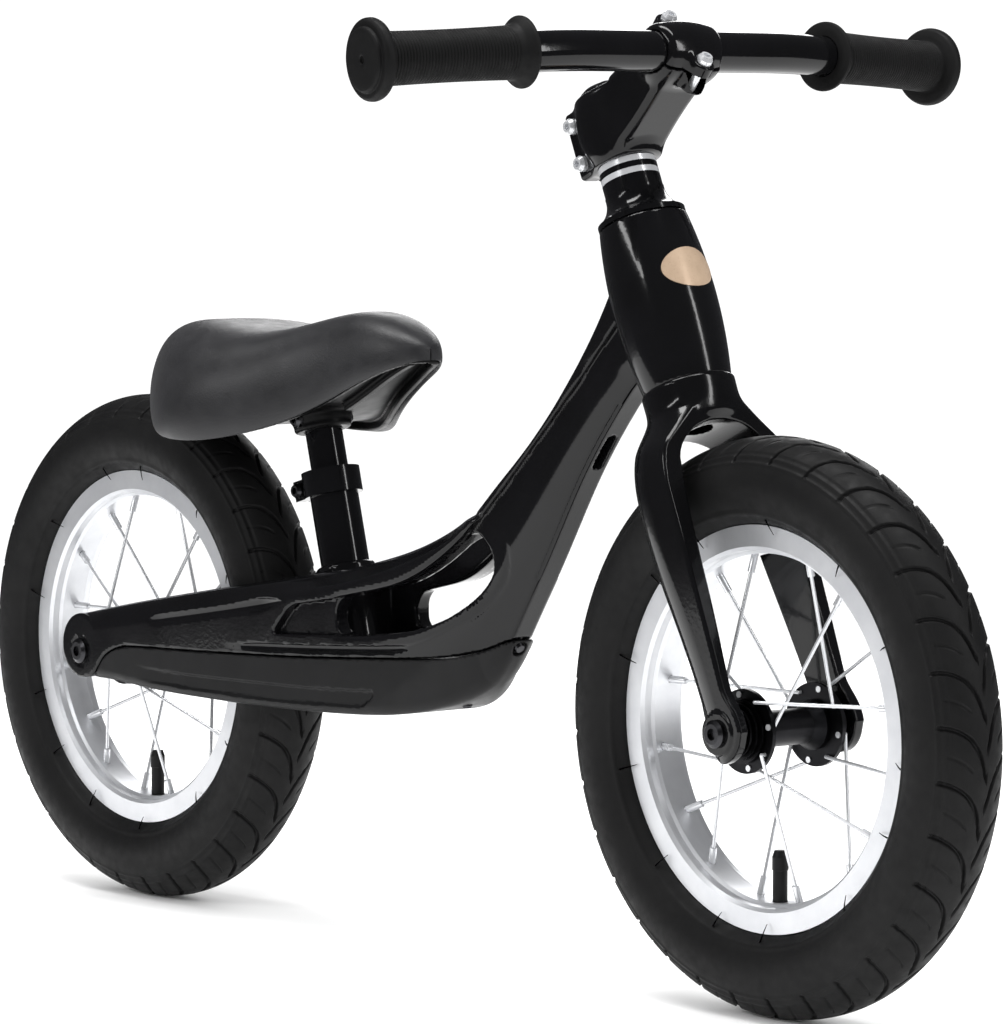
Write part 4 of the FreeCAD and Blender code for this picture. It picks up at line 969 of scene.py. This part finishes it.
def base(x, y, z):
    """The saddle's hard shell: a rimmed tray with a ridge at the front and a neck round the post."""
    ay = np.abs(y)
    lateral = ay - WIDTH_AT(x) * 0.90 + 0.4
    height = z - LOW_AT(x)
    rim = rmax(rmax(lateral, 0.6 - height, 2.5), height - SHELL_TOP)
    rim = rmax(rim, np.abs(x - SHELL_MIDDLE) - SHELL_HALF, 1.5)
    pocket = rmax(rmax(lateral + 5.5, height - 7.0, 1.0), np.maximum(-224.0 - x, x + 24.0), 4.0)
    plate = rmax(rim, -pocket, 1.6)
    ridge = rmax(ay - RIDGE_HALF, np.maximum(-92.0 - x, x + 30.0), 1.0)
    ridge = rmax(ridge, np.maximum(2.4 - height, height - 8.0), 1.0)
    plate = rmin(plate, ridge, 2.0)
    u, q = seating(x, y, z)
    neck = rmax(rmax(q - NECK_R, 84.0 - u, 2.0), height - 6.0)
    flare = rmax(q - NECK_R - 0.9 * np.maximum(u - 93.0, 0), np.maximum(90.0 - u, height - 6.0), 1.0)
    plate = rmin(rmin(plate, neck, 3.0), flare, 3.0)
    return rmax(plate, POST_BORE_R - q, 0.4)


base_piece = surface("saddle_shell", base, (-240, -76, 282), (-12, 76, 352), 1.2, "seat", GLOSS_PLASTIC)
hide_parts("saddle_base")


# ---- floor, lights and camera ----
FLOOR_HALF = 1.3


def stage_material():
    """Plain pale floor, almost even in tone."""
    m = Nodes("studio_floor")
    m.value("Specular IOR Level", 0.0)
    colour = m.ramp(m.noise(6.0, 2.0), 0.3, 0.7, (0.93, 0.93, 0.93), (0.95, 0.95, 0.95))
    return m.finish(colour, m.ramp(m.noise(40.0, 2.0), 0.3, 0.7, 0.75, 0.85))


floor_mesh = bpy.data.meshes.new("studio_floor")
floor_corners = [(i * FLOOR_HALF, j * FLOOR_HALF, 0) for i, j in ((-1, -1), (1, -1), (1, 1), (-1, 1))]
floor_mesh.from_pydata(floor_corners, [], [(0, 1, 2, 3)])
floor_mesh.materials.append(stage_material())
floor = bpy.data.objects.new("studio_floor", floor_mesh)
bpy.context.scene.collection.objects.link(floor)


def softbox(name, place, target, size, power):
    """A rectangular soft light at place, turned to target, in metres and watts."""
    light = bpy.data.lights.new(name, "AREA")
    light.shape = "RECTANGLE"
    light.size, light.size_y = size
    light.energy = power
    lamp = bpy.data.objects.new(name, light)
    bpy.context.scene.collection.objects.link(lamp)
    direction = Vector(target) - Vector(place)
    lamp.matrix_world = Matrix.Translation(place) @ direction.to_track_quat("-Z", "Y").to_matrix().to_4x4()


softbox("overhead", (0.1, -0.2, 2.2), (0, 0, 0.2), (2.2, 0.5), 44)
softbox("near_side", (-0.4, -2.6, 1.7), (0, 0, 0.25), (1.9, 0.22), 18)
softbox("front", (2.3, 0.9, 1.3), (0, 0, 0.25), (0.22, 1.5), 14)
softbox("behind", (-1.6, 1.9, 1.3), (0, 0, 0.25), (1.6, 0.8), 18)

world = bpy.data.worlds.new("studio")
bpy.context.scene.world = world
world.use_nodes = True
tree = world.node_tree
background = tree.nodes["Background"]
paths = tree.nodes.new("ShaderNodeLightPath")
mix = tree.nodes.new("ShaderNodeMix")
mix.data_type = "RGBA"
mix.inputs["A"].default_value = (1.0, 1.0, 1.0, 1)
mix.inputs["B"].default_value = (0.07, 0.07, 0.076, 1)
tree.links.new(paths.outputs["Is Glossy Ray"], mix.inputs["Factor"])
tree.links.new(mix.outputs["Result"], background.inputs["Color"])
background.inputs["Strength"].default_value = 1.12

camera_data = bpy.data.cameras.new("camera")
camera_data.sensor_fit = "VERTICAL"
camera_data.sensor_height = 36.0
camera_data.lens = 176.74
camera_data.clip_end = 50.0
camera = bpy.data.objects.new("camera", camera_data)
bpy.context.scene.collection.objects.link(camera)
EYE = Vector((2.2424, -1.7896, 0.4641))
AZIMUTH, TILT = math.radians(50.752), math.radians(4.2006)
right = Vector((math.cos(AZIMUTH), math.sin(AZIMUTH), 0))
ahead = Vector((-math.sin(AZIMUTH) * math.cos(TILT), math.cos(AZIMUTH) * math.cos(TILT), -math.sin(TILT)))
up = right.cross(ahead)
camera.matrix_world = Matrix.Translation(EYE) @ Matrix((right, up, -ahead)).transposed().to_4x4()
bpy.context.scene.camera = camera
bpy.context.scene.view_settings.view_transform = "Standard"
bpy.context.scene.view_settings.look = "None"
